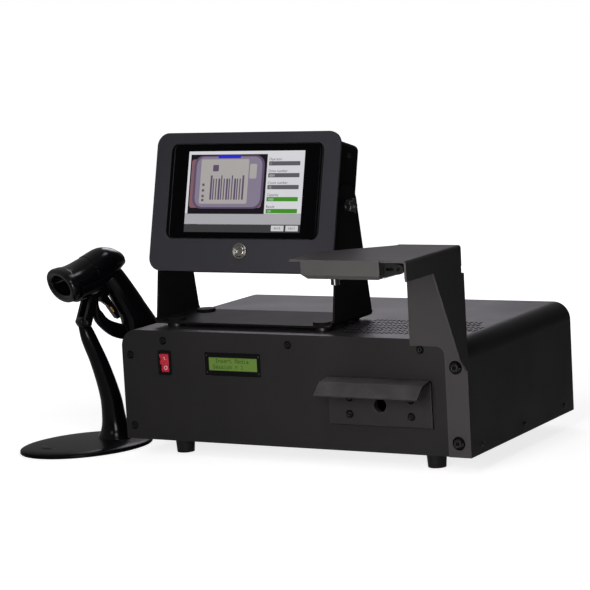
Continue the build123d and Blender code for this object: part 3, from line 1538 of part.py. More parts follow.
# Scanner body: head and handle, with the trigger's lugs and guard
handle_run = (handle_end_along - handle_top_along, handle_end_z - handle_top_z)
handle_angle = -degrees(atan2(-handle_run[1], -handle_run[0]))
cavity_half_w = mouth_half_w - nose_wall
cavity_half_h = mouth_half_h - nose_wall
with BuildPart() as scanner_shell:
    for back_share, width_share, height_share, lift_share in head_shares:
        with BuildSketch(head_plane(back_share * head_back)):
            with Locations((0, lift_share * mouth_half_h)):
                Ellipse(width_share * mouth_half_w, height_share * mouth_half_h)
    loft()
    for run_share, width_share, thick_share in handle_shares:
        with BuildSketch(
            scanner_plane(
                handle_top_along + run_share * handle_run[0], handle_top_z + run_share * handle_run[1], handle_angle
            )
        ):
            Ellipse(width_share * handle_half_w, thick_share * handle_half_t)
    loft()
    with BuildSketch(stand_side.offset(-guard_half_w)):
        with BuildLine():
            outer = Spline(*loop_points(guard_outer_shares))
            inner = Spline(*loop_points(guard_inner_shares))
            Line(outer @ 0, inner @ 0)
            Line(outer @ 1, inner @ 1)
        make_face()
    extrude(amount=2 * guard_half_w)
    for side in (-1, 1):
        with BuildSketch(stand_side.offset(side * (trigger_half_w + trigger_gap))):
            with BuildLine():
                Polyline(
                    (trigger_along - trigger_boss_r, trigger_z),
                    (trigger_along + trigger_boss_r, trigger_z),
                    (trigger_along + trigger_boss_r, trigger_z + lug_rise),
                    (trigger_along - trigger_boss_r - lug_lean, trigger_z + lug_rise),
                    close=True,
                )
            make_face()
            with Locations((trigger_along, trigger_z)):
                Circle(trigger_boss_r)
        extrude(amount=side * trigger_lug_t)
    with BuildSketch(stand_side.offset(-trigger_half_w - trigger_gap)):
        with Locations((trigger_along, trigger_z)):
            Circle(trigger_boss_r + trigger_gap)
    extrude(amount=2 * (trigger_half_w + trigger_gap), mode=Mode.SUBTRACT)
    with BuildSketch(stand_side.offset(-trigger_half_w - trigger_gap)):
        with Locations((trigger_along, trigger_z)):
            Circle(trigger_pin_r)
    extrude(amount=2 * (trigger_half_w + trigger_gap))
    with BuildSketch(head_plane(0)):
        Ellipse(cavity_half_w, cavity_half_h)
    extrude(amount=mouth_depth, mode=Mode.SUBTRACT)
scanner_shell.part.label = "scanner_shell"
export_step(scanner_shell.part, "parts/scanner_shell.step")

with BuildPart() as scanner_nose:
    with BuildSketch(head_plane(-nose_l)):
        Ellipse(mouth_half_w, mouth_half_h)
        Ellipse(cavity_half_w, cavity_half_h, mode=Mode.SUBTRACT)
    extrude(amount=nose_l)
scanner_nose.part.label = "scanner_nose"
export_step(scanner_nose.part, "parts/scanner_nose.step")

with BuildPart() as scanner_window:
    with BuildSketch(head_plane(mouth_depth - window_t)):
        Ellipse(cavity_half_w - fit_gap / 2, cavity_half_h - fit_gap / 2)
    extrude(amount=window_t)
scanner_window.part.label = "scanner_window"
export_step(scanner_window.part, "parts/scanner_window.step")

with BuildPart() as scanner_trigger:
    with BuildSketch(stand_side.offset(-trigger_half_w)):
        with BuildLine():
            Polyline(*loop_points(trigger_outline_shares), close=True)
        make_face()
        with Locations((trigger_along, trigger_z)):
            Circle(trigger_boss_r)
            Circle(trigger_pin_r + pin_play, mode=Mode.SUBTRACT)
    extrude(amount=2 * trigger_half_w)
scanner_trigger.part.label = "scanner_trigger"
export_step(scanner_trigger.part, "parts/scanner_trigger.step")
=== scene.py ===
"""Looks of a bench hard drive degausser with its touch screen, camera arm and hand scanner.

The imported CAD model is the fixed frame. Each Assembly holds one sub-assembly: it finishes that
sub-assembly's CAD nodes and builds the fine pieces that ride on them. Their lengths are
millimetres in the CAD model's own places; meshes are built in metres.
"""

from __future__ import annotations

import json
import logging
import math
from dataclasses import dataclass
from enum import Enum
from typing import Iterable, Sequence

import bmesh
import bpy
from mathutils import Matrix, Vector

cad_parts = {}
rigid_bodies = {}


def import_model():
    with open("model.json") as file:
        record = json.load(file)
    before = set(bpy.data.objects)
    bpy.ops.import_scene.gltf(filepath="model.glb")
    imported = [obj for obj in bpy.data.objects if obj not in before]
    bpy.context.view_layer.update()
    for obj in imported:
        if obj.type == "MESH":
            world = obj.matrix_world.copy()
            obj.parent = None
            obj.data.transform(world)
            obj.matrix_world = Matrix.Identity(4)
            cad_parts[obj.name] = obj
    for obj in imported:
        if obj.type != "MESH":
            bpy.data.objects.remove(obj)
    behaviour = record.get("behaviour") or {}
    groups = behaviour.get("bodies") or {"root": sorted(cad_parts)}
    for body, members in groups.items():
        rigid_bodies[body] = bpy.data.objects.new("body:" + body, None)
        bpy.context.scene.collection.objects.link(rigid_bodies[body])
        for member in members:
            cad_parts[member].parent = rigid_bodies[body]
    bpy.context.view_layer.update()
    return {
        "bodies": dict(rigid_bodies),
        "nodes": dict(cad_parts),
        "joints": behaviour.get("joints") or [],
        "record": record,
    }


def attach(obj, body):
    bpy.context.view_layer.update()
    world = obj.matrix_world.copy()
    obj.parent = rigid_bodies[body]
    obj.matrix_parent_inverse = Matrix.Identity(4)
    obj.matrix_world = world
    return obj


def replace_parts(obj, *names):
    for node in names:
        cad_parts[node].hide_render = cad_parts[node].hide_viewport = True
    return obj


LOG = logging.getLogger("degausser")
MM = 0.001

Triple = tuple[float, float, float]
Point2 = tuple[float, float]
Table = Sequence[Sequence[float]]
Tree, Node, Socket = bpy.types.NodeTree, bpy.types.Node, bpy.types.NodeSocket
Mesh, Piece, Nodes = bmesh.types.BMesh, bpy.types.Object, dict[str, bpy.types.Object]


# ---------------------------------------------------------------- places


@dataclass(frozen=True)
class Seat:
    """A flat place on the object that fine pieces are laid out on.

    Attributes:
        origin: the seat's origin in millimetres, in the row frame.
        across: unit vector to the right on the seat.
        up: unit vector upwards on the seat.
    """

    origin: Vector
    across: Vector
    up: Vector

    @property
    def out(self) -> Vector:
        """Unit vector away from the seat."""
        return self.across.cross(self.up).normalized()

    def point(self, across: float, up: float, out: float = 0.0) -> Vector:
        """A point of the seat, given in millimetres, as metres in the row frame."""
        place = self.origin + self.across * across + self.up * up + self.out * out
        return place * MM

    def matrix(self, across: float = 0.0, up: float = 0.0, out: float = 0.0) -> Matrix:
        """The seat's frame, moved to a point of it, with its axes as columns.

        Args:
            across: the point's place to the right, in millimetres.
            up: its place upwards.
            out: its place off the seat.

        Returns:
            The frame as a matrix, its place in metres.
        """
        rows = Matrix((self.across, self.up, self.out)).transposed().to_4x4()
        rows.translation = self.point(across, up, out)
        return rows


# The middle of the control panel's lower edge, in millimetres, in the row frame.
CABINET = Vector((70.324, -75.0, 19.0))
X_AXIS, Z_AXIS = Vector((1, 0, 0)), Vector((0, 0, 1))


def cabinet_seat(depth: float = 0.0) -> Seat:
    """The control panel's face, or a plane that deep behind it."""
    return Seat(CABINET + Vector((0, depth, 0)), X_AXIS, Z_AXIS)


# ---------------------------------------------------------------- finishes


class Pattern(Enum):
    """Fine surface patterns that a finish may carry."""

    GRAIN = "grain"
    BRUSHED = "brushed"
    TURNS = "turns"


@dataclass(frozen=True)
class Finish:
    """One finish of the object, with the values its material is made from.

    Attributes:
        name: the material's name.
        slot: the record's material slot that it stands for; not used in this script.
        colour: base colour, linear.
        rough: roughness.
        metallic: 1 for bare metal.
        specular: specular level of the coat or plastic.
        coat: clear coat's weight, and coat_rough its roughness.
        pattern: the fine pattern, with its pitch and depth in millimetres.
        stretch: how the pattern is scaled along x, y and z.
        tone: how far the base colour varies over the surface, as a share.
        blotch: how far roughness varies over the surface.
        wear_and_highlight: how strongly edges are rubbed lighter and painted with highlights, and
            wear_and_highlight_colour to what.
        dust: how much dust lies on faces that look up.
        edge: radius in millimetres to which edges are rounded in shading.
        glow: strength of its own light, and glow_colour that light's colour.
    """

    name: str
    slot: str
    colour: Triple
    rough: float = 0.5
    metallic: float = 0.0
    specular: float = 0.5
    coat: float = 0.0
    coat_rough: float = 0.1
    pattern: Pattern = Pattern.GRAIN
    pitch: float = 0.6
    depth: float = 0.02
    stretch: Triple = (1.0, 1.0, 1.0)
    tone: float = 0.12
    blotch: float = 0.08
    wear_and_highlight: float = 0.25
    wear_and_highlight_colour: Triple = (0.16, 0.16, 0.165)
    dust: float = 0.0
    edge: float = 0.4
    glow: float = 0.0
    glow_colour: Triple = (1.0, 1.0, 1.0)


class Palette:
    """Every finish of the object, by name."""

    POWDER = Finish("powder_coat", "powder_coat", (0.0165, 0.0160, 0.0172), 0.47, specular=0.17,
                    pitch=0.75, depth=0.05, tone=0.16, blotch=0.10, dust=0.05, edge=0.5)
    # Painted light: a lighter copy of the powder coat, for the light that falls on the bezel plate.
    SATIN_LIT = Finish("satin_coat_lit", "powder_coat", (0.036, 0.036, 0.043), 0.42, specular=0.06,
                   depth=0.03, dust=0.03, edge=0.5)
    # Painted light: a lighter copy of the powder coat, for the light that falls on the arm; its
    # strong edge lightening paints highlights on the folds.
    ARM_LIT = Finish("arm_coat_lit", "powder_coat", (0.056, 0.0545, 0.0555), 0.42, specular=0.008,
                 depth=0.03, wear_and_highlight=0.6, dust=0.03, edge=0.6)
    # Its strong edge lightening paints the highlights on the pull's folds.
    DRAWER = Finish("drawer_coat", "powder_coat", (0.019, 0.0183, 0.019), 0.42, specular=0.3,
                    depth=0.03, wear_and_highlight=0.7, dust=0.25, edge=0.7)
    # Painted shade: a darker copy of the powder coat, for the shade on the box, yoke and discs.
    YOKE_SHADED = Finish("yoke_coat_shaded", "powder_coat", (0.0075, 0.0073, 0.0082), 0.44, specular=0.016,
                  depth=0.03, dust=0.03, edge=0.5)
    SCREWS = Finish("black_oxide", "black_screws", (0.0035, 0.0035, 0.004), 0.24, specular=0.7,
                    pitch=0.3, depth=0.008, wear_and_highlight=0.2, edge=0.25)
    RUBBER = Finish("foot_rubber", "foot_rubber", (0.004, 0.004, 0.004), 0.34, pitch=0.5, wear_and_highlight=0.1,
                    dust=0.10, edge=0.6)
    BEZEL = Finish("bezel_plastic", "bezel_plastic", (0.002, 0.002, 0.0025), 0.42, specular=0.15,
                   pitch=0.4, depth=0.01, edge=0.3)
    LCD = Finish("lcd_backlight", "lcd_glass", (0.055, 0.10, 0.018), 0.22, glow=0.45,
                 glow_colour=(0.11, 0.20, 0.03), pitch=0.55, depth=0.002, tone=0.10, wear_and_highlight=0.0)
    LCD_INK = Finish("lcd_segments", "lcd_glass", (0.003, 0.006, 0.002), 0.4, specular=0.1,
                     wear_and_highlight=0.0, depth=0.0)
    ROCKER = Finish("rocker_red", "rocker_red", (0.40, 0.012, 0.03), 0.18, coat=0.4, pitch=0.8,
                    depth=0.004, glow=0.12, glow_colour=(0.6, 0.02, 0.05), tone=0.10, wear_and_highlight=0.15,
                    wear_and_highlight_colour=(0.9, 0.2, 0.2))
    ROCKER_MARK = Finish("rocker_marks", "rocker_red", (0.82, 0.55, 0.56), 0.35, wear_and_highlight=0.0)
    TRAY = Finish("tray_plastic", "tray_plastic", (0.02, 0.02, 0.021), 0.5, pitch=0.5)
    BOBBIN = Finish("bobbin_nylon", "bobbin_plastic", (0.55, 0.48, 0.34), 0.45, pitch=0.9,
                    wear_and_highlight=0.1, wear_and_highlight_colour=(0.7, 0.65, 0.5))
    COPPER = Finish("copper_wire", "copper_wire", (0.50, 0.19, 0.07), 0.28, 1.0, coat=0.6,
                    pattern=Pattern.TURNS, pitch=1.6, depth=0.35, stretch=(0.0, 1.0, 0.0),
                    wear_and_highlight=0.0)
    COPPER_LEVEL = Finish("copper_wire_level", "copper_wire", (0.48, 0.18, 0.07), 0.28, 1.0,
                          coat=0.6, pattern=Pattern.TURNS, pitch=1.0, depth=0.25,
                          stretch=(0.0, 0.0, 1.0), wear_and_highlight=0.0)
    CANS = Finish("can_aluminium", "can_aluminium", (0.62, 0.63, 0.65), 0.3, 1.0,
                  pattern=Pattern.BRUSHED, pitch=0.5, depth=0.01, stretch=(0.15, 0.15, 1.0),
                  wear_and_highlight=0.0)
    CORE = Finish("core_laminations", "core_iron", (0.10, 0.10, 0.11), 0.4, 0.8,
                  pattern=Pattern.TURNS, pitch=0.9, depth=0.12, stretch=(0.0, 1.0, 0.0))
    BOARD = Finish("board_green", "board_green", (0.02, 0.16, 0.06), 0.32, pitch=2.2, tone=0.3,
                   wear_and_highlight=0.0)
    SINK = Finish("sink_aluminium", "sink_aluminium", (0.56, 0.56, 0.58), 0.35, 1.0,
                  pattern=Pattern.BRUSHED, depth=0.01, stretch=(1.0, 0.08, 1.0), wear_and_highlight=0.0)
    CHROME = Finish("guard_chrome", "guard_chrome", (0.66, 0.66, 0.68), 0.12, 1.0, pitch=0.4,
                    depth=0.002, wear_and_highlight=0.0, edge=0.7)
    LENS = Finish("lens_black", "lens_black", (0.01, 0.01, 0.011), 0.12, coat=0.5, pitch=0.4,
                  depth=0.002)
    LENS_GLASS = Finish("lens_glass", "lens_black", (0.012, 0.010, 0.03), 0.03, coat=1.0,
                        coat_rough=0.02, pitch=3.0, depth=0.0, wear_and_highlight=0.0)
    DIFFUSER = Finish("diffuser_white", "diffuser_white", (0.78, 0.78, 0.75), 0.4, pitch=0.9,
                      depth=0.03, tone=0.05, wear_and_highlight=0.0)
    BLOCK = Finish("block_black", "block_black", (0.012, 0.012, 0.013), 0.5, pitch=0.4,
                   depth=0.012)
    BRASS = Finish("brass_insert", "block_black", (0.60, 0.40, 0.14), 0.28, 1.0, pitch=0.4,
                   depth=0.006, wear_and_highlight_colour=(0.8, 0.6, 0.3))
    GLASS = Finish("touch_glass", "touch_glass", (0.0008, 0.0008, 0.0012), 0.06, specular=0.06,
                   pitch=9.0, depth=0.0, tone=0.05, blotch=0.03, wear_and_highlight=0.0, edge=0.5)
    PANEL = Finish("panel_frame", "panel_grey", (0.34, 0.34, 0.36), 0.35, 1.0,
                   pattern=Pattern.BRUSHED, pitch=0.5, depth=0.01, stretch=(0.1, 1.0, 1.0))
    STEEL = Finish("button_steel", "button_steel", (0.34, 0.33, 0.30), 0.2, 1.0,
                   pattern=Pattern.BRUSHED, pitch=0.35, depth=0.006, stretch=(1.0, 0.2, 0.2),
                   wear_and_highlight=0.3, wear_and_highlight_colour=(0.8, 0.8, 0.78), edge=0.5)
    KNOB = Finish("knob_plastic", "knob_plastic", (0.004, 0.004, 0.0045), 0.3, pitch=0.5,
                  depth=0.012, edge=0.6)
    STAND = Finish("stand_black", "gloss_black", (0.0022, 0.0022, 0.003), 0.26, specular=0.04,
                   pitch=9.0, depth=0.004, tone=0.1, blotch=0.05, wear_and_highlight=0.0, dust=0.02, edge=0.8)
    GLOSS = Finish("gloss_black", "gloss_black", (0.0018, 0.0018, 0.0026), 0.18, specular=0.17,
                   pitch=6.0, depth=0.01, tone=0.1, blotch=0.05, wear_and_highlight=0.0, dust=0.02, edge=0.8)
    NOSE = Finish("nose_rubber", "nose_rubber", (0.0022, 0.0022, 0.003), 0.26, specular=0.3,
                  pitch=0.5, depth=0.01, wear_and_highlight=0.1, edge=0.8)
    FILTER = Finish("window_filter", "window_glass", (0.012, 0.003, 0.004), 0.05, coat=0.6,
                    pitch=5.0, depth=0.0, wear_and_highlight=0.0)
    # Painted highlight: the lit edge of the yellow trigger, a darkened amber with a painted glow.
    AMBER_GLINT = Finish("amber_trigger_glint", "gloss_black", (0.34, 0.16, 0.03), 0.25, glow=0.1,
                   glow_colour=(0.8, 0.38, 0.05), coat=0.3, pitch=1.5, depth=0.01, wear_and_highlight=0.0)
    PEARL = Finish("indicator_white", "gloss_black", (0.75, 0.76, 0.78), 0.2, coat=0.5, pitch=1.5,
                   depth=0.01, wear_and_highlight=0.0)


@dataclass(frozen=True)
class ScreenInk:
    """A colour of the picture behind the touch glass: lit from behind, glossy in front."""

    name: str
    colour: Triple
    slot: str = "touch_glass"


class Ink(Enum):
    """The colours of the touch screen's page."""

    PAGE = ScreenInk("ink_page", (0.62, 0.62, 0.65))
    SHADE = ScreenInk("ink_page_low", (0.36, 0.36, 0.38))
    BAR = ScreenInk("ink_bar_grey", (0.10, 0.10, 0.105))
    GREEN = ScreenInk("ink_bar_green", (0.05, 0.24, 0.02))
    FOOT = ScreenInk("ink_footer", (0.04, 0.04, 0.042))
    DARK = ScreenInk("ink_frame", (0.006, 0.005, 0.008))
    TEXT = ScreenInk("ink_words", (0.07, 0.07, 0.08))
    LIGHT = ScreenInk("ink_light", (0.55, 0.55, 0.56))
    CASE = ScreenInk("ink_drive_case", (0.10, 0.07, 0.125))
    RIM = ScreenInk("ink_drive_rim", (0.21, 0.18, 0.25))
    LABEL = ScreenInk("ink_drive_label", (0.36, 0.345, 0.335))
    BLUE = ScreenInk("ink_tab", (0.02, 0.02, 0.52))
    PINK = ScreenInk("ink_tray", (0.20, 0.10, 0.12))


# ---------------------------------------------------------------- shader groups


def feed(tree: Tree, value: object, socket: Socket) -> None:
    """Sets a socket to a number or a colour, or links another socket to it.

    Args:
        tree: the node tree.
        value: the number, colour or socket.
        socket: the socket that it goes to.
    """
    if isinstance(value, (int, float)):
        socket.default_value = value
    elif isinstance(value, tuple):
        socket.default_value = (*value, 1.0)
    else:
        tree.links.new(value, socket)


def calculate(tree: Tree, operation: str, first: object, second: object = 0.0,
              clamp: bool = False) -> Socket:
    """Adds a math node with two numbers or sockets, and returns its output.

    Args:
        tree: the node tree.
        operation: the math node's operation.
        first: its first number or socket.
        second: its second.
        clamp: whether the result is kept within 0 to 1.

    Returns:
        The node's output.
    """
    node = tree.nodes.new("ShaderNodeMath")
    node.operation = operation
    node.use_clamp = clamp
    feed(tree, first, node.inputs[0])
    feed(tree, second, node.inputs[1])
    return node.outputs[0]


def mix_colours(tree: Tree, mask: Socket, under: object, over: object) -> Socket:
    """Lays a colour over another where the mask is 1; each is a colour or a socket.

    Args:
        tree: the node tree.
        mask: the mask.
        under: the colour under it.
        over: the colour laid over.

    Returns:
        The mixed colour.
    """
    node = tree.nodes.new("ShaderNodeMix")
    node.data_type = "RGBA"
    for label, value in (("Factor", mask), ("A", under), ("B", over)):
        feed(tree, value, node.inputs[label])
    return node.outputs["Result"]


def spread(tree: Tree, value: Socket, target: Point2, source: Point2 = (0.0, 1.0),
           smooth: bool = False) -> Socket:
    """Spreads a value of one range over another.

    Args:
        tree: the node tree.
        value: the value.
        target: what the value becomes at the ends of its range.
        source: the ends of its range.
        smooth: whether it eases in and out.

    Returns:
        The new value.
    """
    node = tree.nodes.new("ShaderNodeMapRange")
    if smooth:
        node.interpolation_type = "SMOOTHSTEP"
    for label, number in zip(("From Min", "From Max", "To Min", "To Max"), (*source, *target)):
        node.inputs[label].default_value = number
    tree.links.new(value, node.inputs["Value"])
    return node.outputs["Result"]


def shaded(colour: Triple, share: float) -> Triple:
    """A colour made darker or lighter by a share."""
    return tuple(part * share for part in colour)


def split(tree: Tree, vector: Socket) -> Sequence[Socket]:
    """The x, y and z of a vector.

    Args:
        tree: the node tree.
        vector: the vector.

    Returns:
        Its three numbers.
    """
    parts = tree.nodes.new("ShaderNodeSeparateXYZ")
    tree.links.new(vector, parts.inputs[0])
    return parts.outputs


class Groups:
    """Shader node groups that several materials share, built once each."""

    # Noise scales, in waves per metre.
    PAINT_TONE = 14.0
    METAL_TONE = 40.0
    RUB_AND_HIGHLIGHT_BREAKS = 260.0
    DUST_CLOUDS = 55.0
    DUST_SPECKS = 900.0
    # The coarse grain's scale and height, as shares of the whole grain's.
    COARSE_SCALE = 0.31
    COARSE_HEIGHT = 0.4
    # How strongly turned edges, breaks in the rubbing and painted edge highlights, and dust come
    # out.
    TURN_GAIN = 4.0
    BREAK_GAIN = 1.6
    DUST_GAIN = 2.4

    def __init__(self) -> None:
        """Builds every group."""
        self.grain = self._grain()
        self.brushed = self._brushed()
        self.turns = self._turns()
        self.edges = self._edges()
        self.dust = self._dust()

    @staticmethod
    def _tree(name: str, inputs: dict[str, float],
              outputs: Iterable[str]) -> tuple[Tree, Node, Node]:
        """Makes an empty group, whose first input is the place that it is read at.

        Args:
            name: the group's name.
            inputs: each number that it takes, with its default.
            outputs: its outputs: Normal is a vector, and any other a number.

        Returns:
            The group with its input and output nodes.
        """
        tree = bpy.data.node_groups.new(name, "ShaderNodeTree")
        tree.interface.new_socket("Vector", in_out="INPUT", socket_type="NodeSocketVector")
        for label, default in inputs.items():
            socket = tree.interface.new_socket(label, in_out="INPUT", socket_type="NodeSocketFloat")
            socket.default_value = default
        for label in outputs:
            kind = "NodeSocketVector" if label == "Normal" else "NodeSocketFloat"
            tree.interface.new_socket(label, in_out="OUTPUT", socket_type=kind)
        return tree, tree.nodes.new("NodeGroupInput"), tree.nodes.new("NodeGroupOutput")

    @staticmethod
    def _noise(tree: Tree, inlet: Node, scale: object, detail: float) -> Socket:
        """Adds a noise texture read at the group's place, and returns its factor.

        Args:
            tree: the node tree.
            inlet: the group's input node.
            scale: the noise's scale, a number or a socket.
            detail: how many finer waves it has.

        Returns:
            The noise's factor.
        """
        node = tree.nodes.new("ShaderNodeTexNoise")
        node.inputs["Detail"].default_value = detail
        tree.links.new(inlet.outputs["Vector"], node.inputs["Vector"])
        feed(tree, scale, node.inputs["Scale"])
        return node.outputs["Fac"]

    def _grain(self) -> Tree:
        """Fine texture of powder coat and moulded plastic, with broad tone on top.

        Returns:
            The group.
        """
        tree, inlet, outlet = self._tree("fine_grain", {"Scale": 1500.0}, ("Height", "Tone"))
        scale = inlet.outputs["Scale"]
        fine = self._noise(tree, inlet, scale, 2.0)
        coarse = self._noise(tree, inlet, calculate(tree, "MULTIPLY", scale, self.COARSE_SCALE),
                             1.0)
        height = calculate(tree, "ADD",
                           calculate(tree, "MULTIPLY", fine, 1 - self.COARSE_HEIGHT),
                           calculate(tree, "MULTIPLY", coarse, self.COARSE_HEIGHT))
        tree.links.new(height, outlet.inputs["Height"])
        tree.links.new(self._noise(tree, inlet, self.PAINT_TONE, 4.0), outlet.inputs["Tone"])
        return tree

    def _brushed(self) -> Tree:
        """Fine parallel lines of brushed or drawn metal.

        Returns:
            The group.
        """
        tree, inlet, outlet = self._tree("brushed_lines", {"Scale": 1500.0}, ("Height", "Tone"))
        lines = self._noise(tree, inlet, inlet.outputs["Scale"], 3.0)
        tree.links.new(lines, outlet.inputs["Height"])
        tree.links.new(self._noise(tree, inlet, self.METAL_TONE, 3.0), outlet.inputs["Tone"])
        return tree

    def _turns(self) -> Tree:
        """Round wires or thin sheets side by side, across the vector's length.

        Returns:
            The group.
        """
        tree, inlet, outlet = self._tree("turns_side_by_side", {"Scale": 600.0}, ("Height", "Tone"))
        x, y, z = split(tree, inlet.outputs["Vector"])
        along = calculate(tree, "ADD", x, calculate(tree, "ADD", y, z))
        count = calculate(tree, "MULTIPLY", along, inlet.outputs["Scale"])
        phase = calculate(tree, "MULTIPLY", calculate(tree, "FRACT", count), math.pi)
        tree.links.new(calculate(tree, "SINE", phase), outlet.inputs["Height"])
        wire = tree.nodes.new("ShaderNodeTexWhiteNoise")
        wire.noise_dimensions = "1D"
        tree.links.new(calculate(tree, "FLOOR", count), wire.inputs["W"])
        tree.links.new(wire.outputs["Value"], outlet.inputs["Tone"])
        return tree

    def _edges(self) -> Tree:
        """Edges rounded in shading, and a broken mask of where they are rubbed lighter and painted
        with highlights.

        Returns:
            The group.
        """
        tree, inlet, outlet = self._tree("rounded_edges", {"Radius": 0.0004, "Amount": 0.3},
                                         ("Normal", "Mask"))
        bevel = tree.nodes.new("ShaderNodeBevel")
        bevel.samples = 4
        tree.links.new(inlet.outputs["Radius"], bevel.inputs["Radius"])
        geometry = tree.nodes.new("ShaderNodeNewGeometry")
        dot = tree.nodes.new("ShaderNodeVectorMath")
        dot.operation = "DOT_PRODUCT"
        tree.links.new(bevel.outputs["Normal"], dot.inputs[0])
        tree.links.new(geometry.outputs["Normal"], dot.inputs[1])
        apart = calculate(tree, "SUBTRACT", 1.0, dot.outputs["Value"])
        turned = calculate(tree, "MULTIPLY", apart, self.TURN_GAIN, True)
        broken = self._noise(tree, inlet, self.RUB_AND_HIGHLIGHT_BREAKS, 3.0)
        broken = calculate(tree, "MULTIPLY", broken, self.BREAK_GAIN, True)
        rubbed_and_lit = calculate(tree, "MULTIPLY", turned, broken)
        mask = calculate(tree, "MULTIPLY", rubbed_and_lit, inlet.outputs["Amount"], True)
        tree.links.new(bevel.outputs["Normal"], outlet.inputs["Normal"])
        tree.links.new(mask, outlet.inputs["Mask"])
        return tree

    def _dust(self) -> Tree:
        """A thin film of dust on faces that look up.

        Returns:
            The group.
        """
        tree, inlet, outlet = self._tree("dust_film", {"Amount": 0.1}, ("Mask",))
        geometry = tree.nodes.new("ShaderNodeNewGeometry")
        _, _, z = split(tree, geometry.outputs["Normal"])
        upward = calculate(tree, "POWER", calculate(tree, "MAXIMUM", z, 0.0), 2.0)
        cloud = self._noise(tree, inlet, self.DUST_CLOUDS, 5.0)
        speck = self._noise(tree, inlet, self.DUST_SPECKS, 2.0)
        film = calculate(tree, "MULTIPLY", calculate(tree, "MULTIPLY", cloud, speck),
                         self.DUST_GAIN, True)
        lying = calculate(tree, "MULTIPLY", film, upward)
        mask = calculate(tree, "MULTIPLY", lying, inlet.outputs["Amount"])
        tree.links.new(mask, outlet.inputs["Mask"])
        return tree


